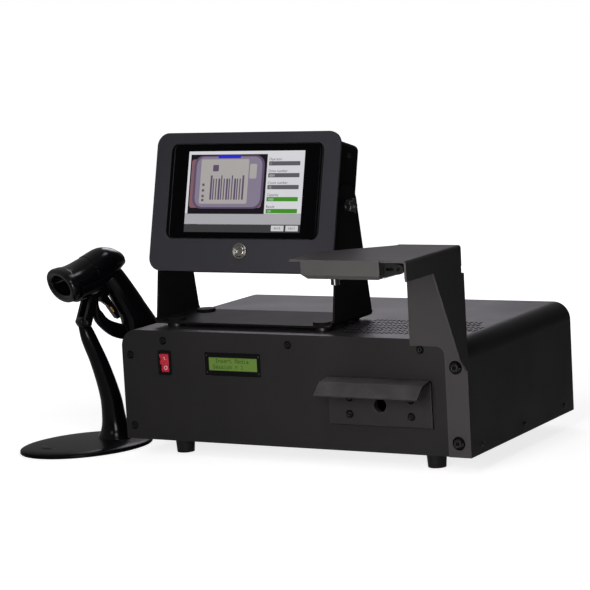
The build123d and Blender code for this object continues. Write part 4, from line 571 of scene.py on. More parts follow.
class PaintShop:
    """Makes one material for each finish and gives it to nodes and pieces."""

    DUST_COLOUR = (0.30, 0.29, 0.28)
    LEAST_ROUGH = 0.02
    SHARP_ANGLE = 32.0
    PIXEL_SCALE = 2200.0
    SCREEN_GLOW = (0.9, 1.1)
    SCREEN_BODY = (0.05, 0.07)
    SCREEN_ROUGH = 0.08
    SCREEN_SPECULAR = 0.25

    def __init__(self) -> None:
        """Builds the shared groups."""
        self.groups = Groups()
        self._made: dict[str, bpy.types.Material] = {}

    def material(self, finish: Finish | ScreenInk) -> bpy.types.Material:
        """Gives the material of a finish, made on first use.

        Args:
            finish: the finish or screen colour.

        Returns:
            Its material.
        """
        if finish.name not in self._made:
            make = self._ink if isinstance(finish, ScreenInk) else self._surface
            self._made[finish.name] = make(finish)
        return self._made[finish.name]

    @staticmethod
    def _new(name: str) -> tuple[bpy.types.Material, Tree, Node]:
        """Makes an empty node material with its Principled shader.

        Args:
            name: the material's name.

        Returns:
            The material, its node tree and its shader.
        """
        made = bpy.data.materials.new(name)
        made.use_nodes = True
        tree = made.node_tree
        return made, tree, tree.nodes["Principled BSDF"]

    @staticmethod
    def _group(tree: Tree, group: Tree, vector: Socket, **values: float) -> Node:
        """Places a group in a material with its own values.

        Args:
            tree: the material's node tree.
            group: the group.
            vector: the place that the group is read at.
            **values: the group's other inputs.

        Returns:
            The group's node.
        """
        node = tree.nodes.new("ShaderNodeGroup")
        node.node_tree = group
        tree.links.new(vector, node.inputs["Vector"])
        for label, value in values.items():
            node.inputs[label].default_value = value
        return node

    def _surface(self, finish: Finish) -> bpy.types.Material:
        """Builds the material of a painted, moulded or metal surface.

        Args:
            finish: the finish.

        Returns:
            Its material.
        """
        made, tree, shader = self._new(finish.name)
        coords = tree.nodes.new("ShaderNodeTexCoord").outputs["Object"]
        lines = coords
        if finish.pattern is not Pattern.GRAIN:
            mapping = tree.nodes.new("ShaderNodeMapping")
            mapping.inputs["Scale"].default_value = finish.stretch
            tree.links.new(coords, mapping.inputs["Vector"])
            lines = mapping.outputs["Vector"]
        group = {Pattern.GRAIN: self.groups.grain, Pattern.BRUSHED: self.groups.brushed,
                 Pattern.TURNS: self.groups.turns}[finish.pattern]
        fine = self._group(tree, group, lines, Scale=1.0 / (finish.pitch * MM))
        edges = self._group(tree, self.groups.edges, coords, Radius=finish.edge * MM,
                            Amount=finish.wear_and_highlight)
        colour = mix_colours(tree, fine.outputs["Tone"], shaded(finish.colour, 1 - finish.tone),
                             shaded(finish.colour, 1 + finish.tone))
        # Edges lightened: rubbing, and painted highlights on edges and folds.
        if finish.wear_and_highlight:
            colour = mix_colours(tree, edges.outputs["Mask"], colour, finish.wear_and_highlight_colour)
        if finish.dust:
            dust = self._group(tree, self.groups.dust, coords, Amount=finish.dust)
            colour = mix_colours(tree, dust.outputs["Mask"], colour, self.DUST_COLOUR)
        tree.links.new(colour, shader.inputs["Base Color"])
        smoothest = max(self.LEAST_ROUGH, finish.rough - finish.blotch)
        rough = spread(tree, fine.outputs["Tone"], (smoothest, finish.rough + finish.blotch))
        tree.links.new(rough, shader.inputs["Roughness"])
        normal = edges.outputs["Normal"]
        if finish.depth:
            bump = tree.nodes.new("ShaderNodeBump")
            bump.inputs["Distance"].default_value = finish.depth * MM
            tree.links.new(fine.outputs["Height"], bump.inputs["Height"])
            tree.links.new(normal, bump.inputs["Normal"])
            normal = bump.outputs["Normal"]
        tree.links.new(normal, shader.inputs["Normal"])
        shader.inputs["Metallic"].default_value = finish.metallic
        shader.inputs["Specular IOR Level"].default_value = finish.specular
        shader.inputs["Coat Weight"].default_value = finish.coat
        shader.inputs["Coat Roughness"].default_value = finish.coat_rough
        if finish.glow:
            shader.inputs["Emission Color"].default_value = (*finish.glow_colour, 1.0)
            shader.inputs["Emission Strength"].default_value = finish.glow
        return made

    def _ink(self, ink: ScreenInk) -> bpy.types.Material:
        """Builds a lit colour of the screen's page, with the pixels' faint grid.

        Args:
            ink: the screen colour.

        Returns:
            Its material.
        """
        made, tree, shader = self._new(ink.name)
        coords = tree.nodes.new("ShaderNodeTexCoord").outputs["Object"]
        grid = self._group(tree, self.groups.grain, coords, Scale=self.PIXEL_SCALE)
        for label, source, (dim, bright) in (("Emission Color", "Tone", self.SCREEN_GLOW),
                                             ("Base Color", "Height", self.SCREEN_BODY)):
            varied = mix_colours(tree, grid.outputs[source], shaded(ink.colour, dim),
                                 shaded(ink.colour, bright))
            tree.links.new(varied, shader.inputs[label])
        shader.inputs["Emission Strength"].default_value = 1.0
        shader.inputs["Roughness"].default_value = self.SCREEN_ROUGH
        shader.inputs["Specular IOR Level"].default_value = self.SCREEN_SPECULAR
        return made

    def paint(self, piece: Piece, finish: Finish | ScreenInk) -> None:
        """Gives a mesh one material, shades it smooth and keeps its real edges sharp.

        Args:
            piece: the piece or CAD node.
            finish: its finish or screen colour.
        """
        mesh = piece.data
        mesh.materials.clear()
        mesh.materials.append(self.material(finish))
        for polygon in mesh.polygons:
            polygon.use_smooth = True
        mesh.set_sharp_from_angle(angle=math.radians(self.SHARP_ANGLE))


# ---------------------------------------------------------------- mesh making


def rounded_rect(width: float, height: float, radius: float, steps: int = 5,
                 centre: Point2 = (0.0, 0.0)) -> list[Point2]:
    """Outline of a rectangle with round corners, counterclockwise, in millimetres.

    Args:
        width: its width.
        height: its height.
        radius: the corners' radius.
        steps: edges in each corner.
        centre: its middle.

    Returns:
        The points of the outline.
    """
    half_w, half_h = width / 2 - radius, height / 2 - radius
    outline = []
    for turn, (sx, sy) in enumerate(((1, 1), (-1, 1), (-1, -1), (1, -1))):
        for step in range(steps + 1):
            angle = math.pi / 2 * (turn + step / steps)
            outline.append((centre[0] + sx * half_w + radius * math.cos(angle),
                            centre[1] + sy * half_h + radius * math.sin(angle)))
    return outline


def arc(out: float, rise: float, degrees: Iterable[float]) -> list[Point2]:
    """Points of an ellipse of those half axes about zero, at some angles."""
    return [(out * math.cos(turn), rise * math.sin(turn)) for turn in map(math.radians, degrees)]


def oval(half_w: float, half_h: float, power: float = 2.0, count: int = 64,
         centre: Point2 = (0.0, 0.0)) -> list[Point2]:
    """Outline of an ellipse, or of a squarer oval where the power is over 2.

    Args:
        half_w: half its width.
        half_h: half its height.
        power: how square it is.
        count: its number of points.
        centre: its middle.

    Returns:
        The points of the outline, counterclockwise.
    """
    outline = []
    for n in range(count):
        c, s = math.cos(2 * math.pi * n / count), math.sin(2 * math.pi * n / count)
        outline.append((centre[0] + math.copysign(abs(c) ** (2 / power), c) * half_w,
                        centre[1] + math.copysign(abs(s) ** (2 / power), s) * half_h))
    return outline


def eased(table: Table, where: float) -> list[float]:
    """Reads a table at a place along its first column, on smooth curves through its rows.

    Args:
        table: rows of numbers, in the order of their first column.
        where: the place to read, in the first column's measure.

    Returns:
        The other columns' values there.
    """
    n = min(max(sum(row[0] <= where for row in table) - 1, 0), len(table) - 2)
    low, high = table[n], table[n + 1]
    span = high[0] - low[0]
    t = (where - low[0]) / span

    def slope(row: int, column: int) -> float:
        """How fast a column changes at a row."""
        before, after = table[max(row - 1, 0)], table[min(row + 1, len(table) - 1)]
        return (after[column] - before[column]) / (after[0] - before[0])

    return [low[k] * (2 * t**3 - 3 * t**2 + 1) + high[k] * (3 * t**2 - 2 * t**3)
            + slope(n, k) * span * (t**3 - 2 * t**2 + t) + slope(n + 1, k) * span * (t**3 - t**2)
            for k in range(1, len(low))]


def placed(name: str, data: bpy.types.ID) -> Piece:
    """Makes an object of a mesh, curve, lamp or camera, and links it to the scene.

    Args:
        name: the object's name.
        data: its data.

    Returns:
        The new object.
    """
    made = bpy.data.objects.new(name, data)
    bpy.context.scene.collection.objects.link(made)
    return made


class Maker:
    """Builds meshes, gives each its finish, and seats it on a CAD body."""

    CAPITAL_SHARE = 0.7
    INK_DEPTH = 0.02
    # How much of a softened rim its lower slope takes.
    RIM_TURN = 0.3
    # Radii below this many millimetres lie on the axis.
    ON_AXIS = 1e-6
    # How narrow the valleys between lobes are.
    LOBE_SHARPNESS = 1.5

    def __init__(self, shop: PaintShop) -> None:
        """Keeps the paint shop that finishes each piece."""
        self.shop = shop

    def seat(self, name: str, mesh: Mesh, finish: Finish | ScreenInk, body: str) -> Piece:
        """Turns a bmesh in the row frame into a finished piece that rides on a body.

        Args:
            name: the piece's name.
            mesh: its mesh, in metres; it is freed.
            finish: what it is finished in.
            body: the CAD body it rides on.

        Returns:
            The new object.
        """
        bmesh.ops.recalc_face_normals(mesh, faces=mesh.faces)
        data = bpy.data.meshes.new(name)
        mesh.to_mesh(data)
        mesh.free()
        piece = placed(name, data)
        self.shop.paint(piece, finish)
        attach(piece, body)
        LOG.info("piece %s rides on %s", name, body)
        return piece

    @staticmethod
    def _band(mesh: Mesh, pairs: Iterable[tuple[Sequence, Sequence]]) -> None:
        """Adds the faces between pairs of rings of vertices, each with as many.

        Args:
            mesh: the bmesh that they go into.
            pairs: the pairs of rings.
        """
        for lower, upper in pairs:
            for n in range(len(lower)):
                m = (n + 1) % len(lower)
                mesh.faces.new((lower[n], lower[m], upper[m], upper[n]))

    @staticmethod
    def add_prism(mesh: Mesh, outline: Sequence[Point2], matrix: Matrix,
                  low: float, high: float, soften: float = 0.0) -> None:
        """Adds an outline's prism between two heights, its upper rim softened.

        Args:
            mesh: the bmesh that it goes into.
            outline: its outline in millimetres.
            matrix: the seat that it stands on.
            low: height of its underside, in millimetres.
            high: height of its top.
            soften: width of the softened rim.
        """
        middle = Vector((sum(p[0] for p in outline), sum(p[1] for p in outline))) / len(outline)
        levels = [(low, 0.0), (high, 0.0)]
        if soften:
            turn = soften * Maker.RIM_TURN
            levels = [(low, 0.0), (high - soften, 0.0), (high - turn, turn), (high, soften)]
        rings = []
        for height, inset in levels:
            ring = []
            for across, up in outline:
                away = Vector((across, up)) - middle
                shrink = (away.length - inset) / away.length
                flat = middle + away * shrink
                ring.append(mesh.verts.new(matrix @ (Vector((flat.x, flat.y, height)) * MM)))
            rings.append(ring)
        mesh.faces.new(list(reversed(rings[0])))
        mesh.faces.new(rings[-1])
        Maker._band(mesh, zip(rings, rings[1:]))

    @staticmethod
    def add_lathe(mesh: Mesh, profile: Table, matrix: Matrix, count: int = 48,
                  lobes: int = 0, hoop: bool = False) -> None:
        """Adds a turned shape; its profile is (radius, height) in millimetres.

        Args:
            mesh: the bmesh that it goes into.
            profile: the outline from one end of the axis to the other. A third number is the
                depth of the valleys between the lobes there.
            matrix: the seat whose outward axis it turns about.
            count: points round it.
            lobes: number of lobes round it, or 0 for a round shape.
            hoop: whether the outline closes on itself, as in a ring.
        """
        rings = []
        for radius, height, *valleys in profile:
            if radius < Maker.ON_AXIS:
                rings.append([mesh.verts.new(matrix @ (Vector((0, 0, height)) * MM))])
                continue
            ring = []
            for n in range(count):
                turn = 2 * math.pi * n / count
                valley = sum(valleys) * (0.5 - 0.5 * math.cos(lobes * turn)) ** Maker.LOBE_SHARPNESS
                away = radius - valley
                spot = Vector((away * math.cos(turn), away * math.sin(turn), height))
                ring.append(mesh.verts.new(matrix @ (spot * MM)))
            rings.append(ring)
        pairs = list(zip(rings, rings[1:])) + ([(rings[-1], rings[0])] if hoop else [])
        for lower, upper in pairs:
            for n in range(count):
                m = (n + 1) % count
                turns = ((lower, n), (lower, m), (upper, m), (upper, n))
                face = list(dict.fromkeys(ring[k % len(ring)] for ring, k in turns))
                if len(face) > 2:
                    mesh.faces.new(face)

    @staticmethod
    def add_loft(mesh: Mesh, rings: Sequence[Sequence[Vector]], hoop: bool = False) -> None:
        """Adds a skin through rings of points in metres, closed at its ends.

        Args:
            mesh: the bmesh that it goes into.
            rings: the rings, each with as many points.
            hoop: whether the last ring joins the first, as in a tube bent round.
        """
        rows = [[mesh.verts.new(point) for point in ring] for ring in rings]
        pairs = list(zip(rows, rows[1:]))
        if hoop:
            pairs.append((rows[-1], rows[0]))
        else:
            mesh.faces.new(rows[0])
            mesh.faces.new(rows[-1])
        Maker._band(mesh, pairs)

    @staticmethod
    def add_words(mesh: Mesh, words: str, size: float, matrix: Matrix,
                  align: str = "LEFT") -> None:
        """Adds a line of plain lettering on a seat, its capitals that high in millimetres.

        Args:
            mesh: the bmesh that it goes into.
            words: the line.
            size: the capitals' height.
            matrix: the seat, at its start.
            align: the curve's alignment, LEFT or CENTER.
        """
        curve = bpy.data.curves.new("words", "FONT")
        curve.body = words
        curve.size = size * MM / Maker.CAPITAL_SHARE
        curve.align_x = align
        curve.extrude = Maker.INK_DEPTH * MM
        curve.resolution_u = 3
        holder = placed("words", curve)
        bpy.context.view_layer.update()
        shapes = bpy.context.evaluated_depsgraph_get()
        data = bpy.data.meshes.new_from_object(holder.evaluated_get(shapes))
        data.transform(matrix)
        mesh.from_mesh(data)
        bpy.data.objects.remove(holder)
        bpy.data.meshes.remove(data)
        bpy.data.curves.remove(curve)


@dataclass
class Assembly:
    """One sub-assembly of the object: finishes for its CAD nodes, and fine pieces on them."""

    maker: Maker
    nodes: Nodes

    FINISHES = ()

    def build(self) -> None:
        """Finishes the assembly's CAD nodes and adds its fine pieces."""
        for finish, names in self.FINISHES:
            for name in names:
                self.maker.shop.paint(self.nodes[name], finish)
                LOG.info("node %s finished in %s", name, finish.name)
        self.add_pieces()

    def add_pieces(self) -> None:
        """Adds the fine pieces that the CAD nodes don't have."""


# ---------------------------------------------------------------- control panel


class DotFont:
    """A five by seven dot character set, for the characters that the display shows."""

    ROWS = 7
    PITCH = 6

    COLUMNS: dict[str, tuple[int, ...]] = {
        "I": (0x00, 0x41, 0x7F, 0x41, 0x00), "M": (0x7F, 0x02, 0x0C, 0x02, 0x7F),
        "S": (0x46, 0x49, 0x49, 0x49, 0x31), "a": (0x20, 0x54, 0x54, 0x54, 0x78),
        "d": (0x38, 0x44, 0x44, 0x48, 0x7F), "e": (0x38, 0x54, 0x54, 0x54, 0x18),
        "i": (0x00, 0x44, 0x7D, 0x40, 0x00), "n": (0x7C, 0x08, 0x04, 0x04, 0x78),
        "o": (0x38, 0x44, 0x44, 0x44, 0x38), "r": (0x7C, 0x08, 0x04, 0x04, 0x08),
        "s": (0x48, 0x54, 0x54, 0x54, 0x20), "t": (0x04, 0x3F, 0x44, 0x40, 0x20),
        "=": (0x14, 0x14, 0x14, 0x14, 0x14), "1": (0x00, 0x42, 0x7F, 0x40, 0x00),
        " ": (0, 0, 0, 0, 0),
    }

    @classmethod
    def dots(cls, words: str) -> Iterable[tuple[int, int]]:
        """Gives the place of each lit dot of a line.

        Args:
            words: a line of characters.

        Yields:
            (column, row) of each dot, rows counted from the top.
        """
        for place, letter in enumerate(words):
            for column, bits in enumerate(cls.COLUMNS[letter]):
                for row in range(cls.ROWS):
                    if bits >> row & 1:
                        yield place * cls.PITCH + column, row


@dataclass
class ControlPanel(Assembly):
    """Character display and illuminated rocker switch on the cabinet's face."""

    lcd_x: float = -72.1
    lcd_z: float = 90.5
    window_w: float = 63.0
    window_sink: float = 0.8
    lines: Sequence[tuple[str, float]] = ((" Insert Media", 5.9), ("Session = 1", -0.9))
    text_share: float = 0.92
    line_l: int = 16
    indent: int = 5
    dot_w: float = 0.86
    dot_h: float = 1.02
    dot_rise: float = 1.16
    dot_r: float = 0.05
    dot_t: float = 0.03
    tabs: Point2 = (33.6, 9.6)
    tab_size: Point2 = (1.0, 1.7)
    tab_r: float = 0.3
    tab_proud: float = 0.25
    tab_soft: float = 0.1
    rocker_x: float = -161.5
    rocker_z: float = 90.0
    pivot_depth: float = 3.6
    tilt: float = 9.0
    face_out: float = 4.4
    dish: float = 1.6
    half_height: float = 10.35
    mark_share: float = 0.55
    stroke: Point2 = (0.9, 4.4)
    stroke_r: float = 0.3
    circle_r: Point2 = (2.3, 1.5)
    sunk: float = -0.1
    proud: float = 0.12

    FINISHES = (
        (Palette.BEZEL, ("lcd_module", "switch_housing")),
        (Palette.LCD, ("lcd_window",)),
        (Palette.ROCKER, ("rocker_paddle",)),
    )

    def add_pieces(self) -> None:
        """Adds the display's characters and tabs and the rocker's marks."""
        self._characters()
        self._bezel_tabs()
        self._rocker_marks()

    def _characters(self) -> None:
        """Two lines of dot characters on the lit window."""
        cell = self.window_w * self.text_share / (self.line_l * DotFont.PITCH)
        seat = cabinet_seat(self.window_sink).matrix()
        mesh = bmesh.new()
        left = self.lcd_x - self.window_w * self.text_share / 2 + cell * self.indent
        for line, top in self.lines:
            for column, row in DotFont.dots(line):
                middle = (left + column * cell, self.lcd_z + top - row * cell * self.dot_rise)
                dot = rounded_rect(cell * self.dot_w, cell * self.dot_h, self.dot_r, 1, middle)
                Maker.add_prism(mesh, dot, seat, 0.0, self.dot_t)
        self.maker.seat("lcd_characters", mesh, Palette.LCD_INK, "cabinet")

    def _bezel_tabs(self) -> None:
        """Twisted metal tabs that hold the display's bezel, at its four corners."""
        mesh = bmesh.new()
        seat = cabinet_seat().matrix()
        for dx in (-1, 1):
            for dz in (-1, 1):
                spot = (self.lcd_x + dx * self.tabs[0], self.lcd_z + dz * self.tabs[1])
                Maker.add_prism(mesh, rounded_rect(*self.tab_size, self.tab_r, 2, spot), seat,
                                self.sunk, self.tab_proud, self.tab_soft)
        self.maker.seat("lcd_bezel_tabs", mesh, Palette.CORE, "cabinet")

    def _paddle_seat(self, upper: bool) -> Matrix:
        """The upper or lower half of the rocker's face, as a seat at its middle.

        Args:
            upper: whether it is the upper half.

        Returns:
            The seat's matrix.
        """
        lean = math.radians(self.tilt)
        deep = Vector((0, math.cos(lean), math.sin(lean)))
        tall = Vector((0, -math.sin(lean), math.cos(lean)))
        pivot = CABINET + Vector((self.rocker_x, self.pivot_depth, self.rocker_z))
        sign = 1 if upper else -1
        end = pivot - deep * self.face_out + tall * self.half_height * sign
        middle = pivot - deep * (self.face_out - self.dish)
        rise = (end - middle).normalized() * sign
        spot = middle.lerp(end, self.mark_share)
        return Seat(spot, X_AXIS, rise).matrix()

    def _rocker_marks(self) -> None:
        """The strokes I and O on the rocker."""
        mesh = bmesh.new()
        Maker.add_prism(mesh, rounded_rect(*self.stroke, self.stroke_r, 2),
                        self._paddle_seat(True), self.sunk, self.proud)
        seat = self._paddle_seat(False)
        outer, inner = (oval(radius, radius, count=32) for radius in self.circle_r)
        Maker.add_loft(mesh, [[seat @ (Vector((x, y, height)) * MM) for x, y in ring]
                              for ring, height in ((outer, self.sunk), (outer, self.proud),
                                                   (inner, self.proud), (inner, self.sunk))],
                       hoop=True)
        self.maker.seat("rocker_marks", mesh, Palette.ROCKER_MARK, "rocker")


# ---------------------------------------------------------------- cabinet


@dataclass
class Cabinet(Assembly):
    """Base pan, cover, panels, feet and everything inside them."""

    FINISHES = (
        (Palette.POWDER, ("base_pan", "cover", "front_panel", "rear_panel")),
        (Palette.RUBBER, ("foot_front_left", "foot_front_right", "foot_rear_left",
                          "foot_rear_right", "yoke_bumpers")),
        (Palette.SCREWS, ("panel_screws", "cover_screws", "arm_screws", "drawer_screws",
                          "box_screws")),
        (Palette.YOKE_SHADED, ("yoke_discs",)),
        (Palette.BOBBIN, ("coil_bobbin", "guide_left", "guide_right", "capacitor_clamp")),
        (Palette.COPPER, ("coil_winding",)),
        (Palette.COPPER_LEVEL, ("transformer_winding",)),
        (Palette.CANS, ("capacitor_bank",)),
        (Palette.CORE, ("transformer_core",)),
        (Palette.BOARD, ("control_board",)),
        (Palette.SINK, ("pulse_heatsink",)),
        (Palette.BLOCK, ("fan_frame", "fan_rotor", "power_inlet", "fuse_holder")),
        (Palette.CHROME, ("fan_guard",)),
        (Palette.DRAWER, ("drawer_front",)),
        (Palette.TRAY, ("drawer_tray",)),
    )

    # How far out from the screw's head and from the panel the dark ring's profile lies: painted
    # shade for the screw's shadowed recess.
    SHADOW_RING = ((0.05, 0.03), (0.05, 0.22), (0.25, 0.34), (0.85, 0.34), (1.1, 0.2), (1.1, 0.03))
    # The points of a screw beyond this share of its reach are its head's.
    HEAD_SHARE = 0.93

    def add_pieces(self) -> None:
        """Adds dark rings round the screws on the front: painted shade for their recesses."""
        for name, body in (("panel_screws", "cabinet"), ("arm_screws", "cabinet"),
                           ("drawer_screws", "drawer")):
            self._shadow_rings(self.nodes[name], body)

    def _shadow_rings(self, screws: Piece, body: str) -> None:
        """Puts a thin dark ring round each screw head that faces front: painted shade for the
        shadowed recess round it.

        Args:
            screws: the CAD node with the screws, each a separate shell.
            body: the body that they ride on.
        """
        shells = bmesh.new()
        shells.from_mesh(screws.data)
        shells.transform(screws.matrix_world)
        mesh = bmesh.new()
        seen = set()
        for start in shells.verts:
            if start in seen:
                continue
            shell, edge = set(), [start]
            while edge:
                vert = edge.pop()
                if vert in shell:
                    continue
                shell.add(vert)
                edge.extend(link.other_vert(vert) for link in vert.link_edges)
            seen |= shell
            spots = [vert.co / MM for vert in shell]
            x, _, z = ((min(p[n] for p in spots) + max(p[n] for p in spots)) / 2 for n in range(3))
            away = [math.hypot(p.x - x, p.z - z) for p in spots]
            reach = max(away)
            foot = max(p.y for p, far in zip(spots, away) if far > self.HEAD_SHARE * reach)
            profile = [(reach + out, rise) for out, rise in self.SHADOW_RING]
            Maker.add_lathe(mesh, profile, Seat(Vector((x, foot, z)), X_AXIS, Z_AXIS).matrix(),
                            count=36, hoop=True)
        shells.free()
        self.maker.seat(f"{screws.name}_shadow_rings", mesh, Palette.BEZEL, body)


# ---------------------------------------------------------------- camera arm


@dataclass
class CameraArm(Assembly):
    """Bent arm with the camera housing, its lens, light, slotted mount and cable block."""

    lens: Triple = (111.5, -86.0, 208.6)
    lens_l: float = 12.0
    block: Triple = (213.0, -118.0, 218.0)
    dome_r: float = 3.25
    dome_h: float = 0.7
    glass_up: float = 1.0
    glass_sink: float = 0.2
    glass_t: float = 0.9

    DOME_ANGLES = (0, 15, 35, 55, 75)
    BUSHING = ((0, 2.9), (1.2, 2.9), (1.5, 3.4), (2.4, 3.4), (2.65, 3.1), (2.65, 0.3), (0, 0.3))

    FINISHES = (
        (Palette.ARM_LIT, ("arm_bracket", "camera_housing")),
        (Palette.BEZEL, ("camera_mount", "arm_block")),
        (Palette.LENS, ("camera_lens",)),
        (Palette.DIFFUSER, ("light_diffuser",)),
    )

    def add_pieces(self) -> None:
        """Adds the lens glass and the brass insert."""
        self._lens_glass()
        self._brass_insert()

    def _lens_glass(self) -> None:
        """A domed front element inside the lens barrel's rim, looking down."""
        x, y, z = self.lens
        spot = CABINET + Vector((x, y, z - self.lens_l + self.glass_up))
        dome = [(out, rise - self.glass_sink)
                for out, rise in arc(self.dome_r, self.dome_h, self.DOME_ANGLES)]
        profile = [(0, -self.glass_t), (self.dome_r, -self.glass_t), *dome,
                   (0, self.dome_h - self.glass_sink)]
        mesh = bmesh.new()
        Maker.add_lathe(mesh, profile, Seat(spot, X_AXIS, Vector((0, -1, 0))).matrix(), count=40)
        self.maker.seat("lens_glass", mesh, Palette.LENS_GLASS, "cabinet")

    def _brass_insert(self) -> None:
        """Brass bushing in the front of the cable block."""
        x, y, z = self.block
        seat = Seat(CABINET + Vector((x, y, z)), X_AXIS, Z_AXIS)
        mesh = bmesh.new()
        Maker.add_lathe(mesh, self.BUSHING, seat.matrix(), count=32)
        self.maker.seat("brass_insert", mesh, Palette.BRASS, "cabinet")


# ---------------------------------------------------------------- touch screen


@dataclass
class TouchUnit(Assembly):
    """Touch screen unit: bezel plate, lit page, push button, box, yoke and knobs."""

    pivot: Triple = (-69.0, 71.5, 260.6)
    lean: float = 14.6
    plate_front: float = 34.5
    glass_rise: float = 12.0
    glass: Point2 = (189.0, 107.0)
    glass_r: float = 6.5
    gasket_taller: float = 0.1
    gasket_rounder: float = 0.25
    page_w: float = 151.0
    page_h: float = 92.0
    page_up: float = -0.6
    names_left: float = 0.70
    name_h: float = 3.0
    values_left: float = 0.71
    value_h: float = 2.6
    button_word_h: float = 2.4
    button_up: float = -55.7
    yoke_x: float = -71.5
    yoke_half: float = 116.0
    knob_gap: float = 0.3
    layer: float = 0.04

    # The gasket's profile: how much wider than the glass, and how high over the plate.
    GASKET = ((0.9, 0.02), (0.9, 0.22), (1.4, 0.3), (8.6, 0.3), (9.2, 0.2), (9.4, 0.02))
    # Turned profiles: radius, height, and the depth of the valleys between the lobes.
    BUTTON_RIM = ((6.55, -1.5), (6.55, 1.1), (6.8, 1.45), (7.3, 1.6), (8.3, 1.6), (9.1, 1.25),
                  (9.5, 0.6), (9.55, 0.0), (7.9, 0.0), (7.9, -1.5))
    BUTTON_DISH = ((0, -3.2), (6.35, -3.2), (6.35, 2.2), (6.2, 2.6), (5.8, 2.8), (5.3, 2.75),
                   (4.7, 2.45), (3.4, 1.95), (1.8, 1.7), (0, 1.65))
    KNOB_GRIP = ((0, -16.0), (2.95, -16.0), (2.95, 0.0), (6.9, 0.0), (7.4, 0.4), (7.4, 2.1),
                 (7.1, 2.6), (8.3, 2.6, 1.5), (8.9, 3.2, 2.2), (9.0, 4.4, 2.4), (9.0, 7.2, 2.4),
                 (8.6, 8.3, 2.2), (7.8, 8.9, 1.8), (6.6, 9.0, 1.0), (3.6, 9.0), (3.3, 8.6),
                 (3.3, 7.6), (0, 7.6))
    KNOB_STUD = ((0, 7.2), (2.9, 7.2), (2.9, 8.3), (2.5, 8.75), (1.2, 8.9), (1.2, 8.2), (0, 8.2))
    KNOB_LOBES = 5
    # The left knob's stud is a hexagon, the right one's is round.
    STUD_SIDES = {-1: 6, 1: 36}

    # The page's tiles by piece: name, colour, layer, and of each tile its left, top, right and
    # bottom in shares of the page, with its corners' radius in millimetres.
    PICTURE = (
        ("page_ground", Ink.PAGE, 1, ((0, 0, 1, 0.77, 0.3),)),
        ("page_ground_low", Ink.SHADE, 1, ((0, 0.765, 1, 0.905, 0.3),)),
        ("page_footer", Ink.FOOT, 1, ((0, 0.90, 1, 1, 0.3),)),
        ("picture_frame", Ink.DARK, 2, ((0.02, 0.04, 0.685, 0.775, 0.3),)),
        ("picture_tray", Ink.PINK, 3, ((0.03, 0.10, 0.655, 0.70, 3.0),)),
        ("picture_case", Ink.CASE, 4, ((0.055, 0.055, 0.665, 0.71, 11.0),)),
        ("picture_rim", Ink.RIM, 5, ((0.075, 0.07, 0.645, 0.69, 10.0),)),
        ("picture_label", Ink.LABEL, 6, ((0.115, 0.10, 0.53, 0.65, 2.0),
                                         (0.54, 0.16, 0.60, 0.34, 1.5))),
    )
    FORM = (
        ("picture_tab", Ink.BLUE, 7, ((0.26, 0.045, 0.455, 0.088, 1.2),)),
        ("field_bars", Ink.BAR, 2, ((0.70, 0.13, 0.965, 0.182, 0.3),
                                    (0.70, 0.275, 0.965, 0.327, 0.3),
                                    (0.70, 0.42, 0.965, 0.472, 0.3))),
        ("result_bars", Ink.GREEN, 2, ((0.70, 0.567, 0.965, 0.619, 0.3),
                                       (0.70, 0.712, 0.965, 0.764, 0.3))),
        ("footer_buttons", Ink.LIGHT, 2, ((0.755, 0.915, 0.862, 0.983, 0.5),
                                          (0.878, 0.915, 0.983, 0.983, 0.5))),
    )
    # The bar code on the picture's label: its first bar's left edge, how far apart the bars are,
    # their number, their foot and corners, and the widths and tops that they take in turn.
    BAR_LEFT, BAR_PITCH, BAR_COUNT, BAR_FOOT, BAR_R = 0.205, 0.023, 13, 0.60, 0.1
    BAR_WIDTHS = (0.016, 0.010, 0.010)
    BAR_TOPS = (0.30, 0.34, 0.34, 0.34)
    LABEL_MARKS = ((0.135, 0.40, 0.155, 0.43, 0.6), (0.135, 0.47, 0.155, 0.50, 0.6),
                   (0.135, 0.54, 0.155, 0.57, 0.6), (0.135, 0.59, 0.155, 0.62, 0.6),
                   (0.22, 0.17, 0.27, 0.25, 0.8))
    # The form's fields: name, value, and the lines that the two stand on.
    FIELDS = (("Operator", "1", 0.118, 0.172), ("Drive number", "0001", 0.263, 0.317),
              ("Count number", "12", 0.408, 0.462), ("Capacity", "1000", 0.555, 0.609),
              ("Result", "OK", 0.70, 0.754))
    BUTTONS = (("BACK", 0.808), ("NEXT", 0.93))
    BUTTON_LINE = 0.962

    FINISHES = (
        (Palette.SATIN_LIT, ("display_plate",)),
        (Palette.YOKE_SHADED, ("display_box", "display_yoke")),
        (Palette.GLASS, ("touch_glass",)),
        (Palette.PANEL, ("screen_panel",)),
        (Palette.BOARD, ("display_board",)),
        (Palette.STEEL, ("button_ring", "button_cap")),
        (Palette.KNOB, ("knob_left", "knob_right")),
    )

    def add_pieces(self) -> None:
        """Adds the gasket, button and knobs, and the page that the screen shows."""
        self._gasket()
        self._button()
        for side in (-1, 1):
            self._knob(side)
        self._page()

    @property
    def face(self) -> Seat:
        """The bezel plate's face, from the pivot's foot on it."""
        tilt = math.radians(self.lean)
        out = Vector((0, -math.cos(tilt), math.sin(tilt)))
        up = Vector((0, math.sin(tilt), math.cos(tilt)))
        return Seat(CABINET + Vector(self.pivot) + out * self.plate_front, X_AXIS, up)

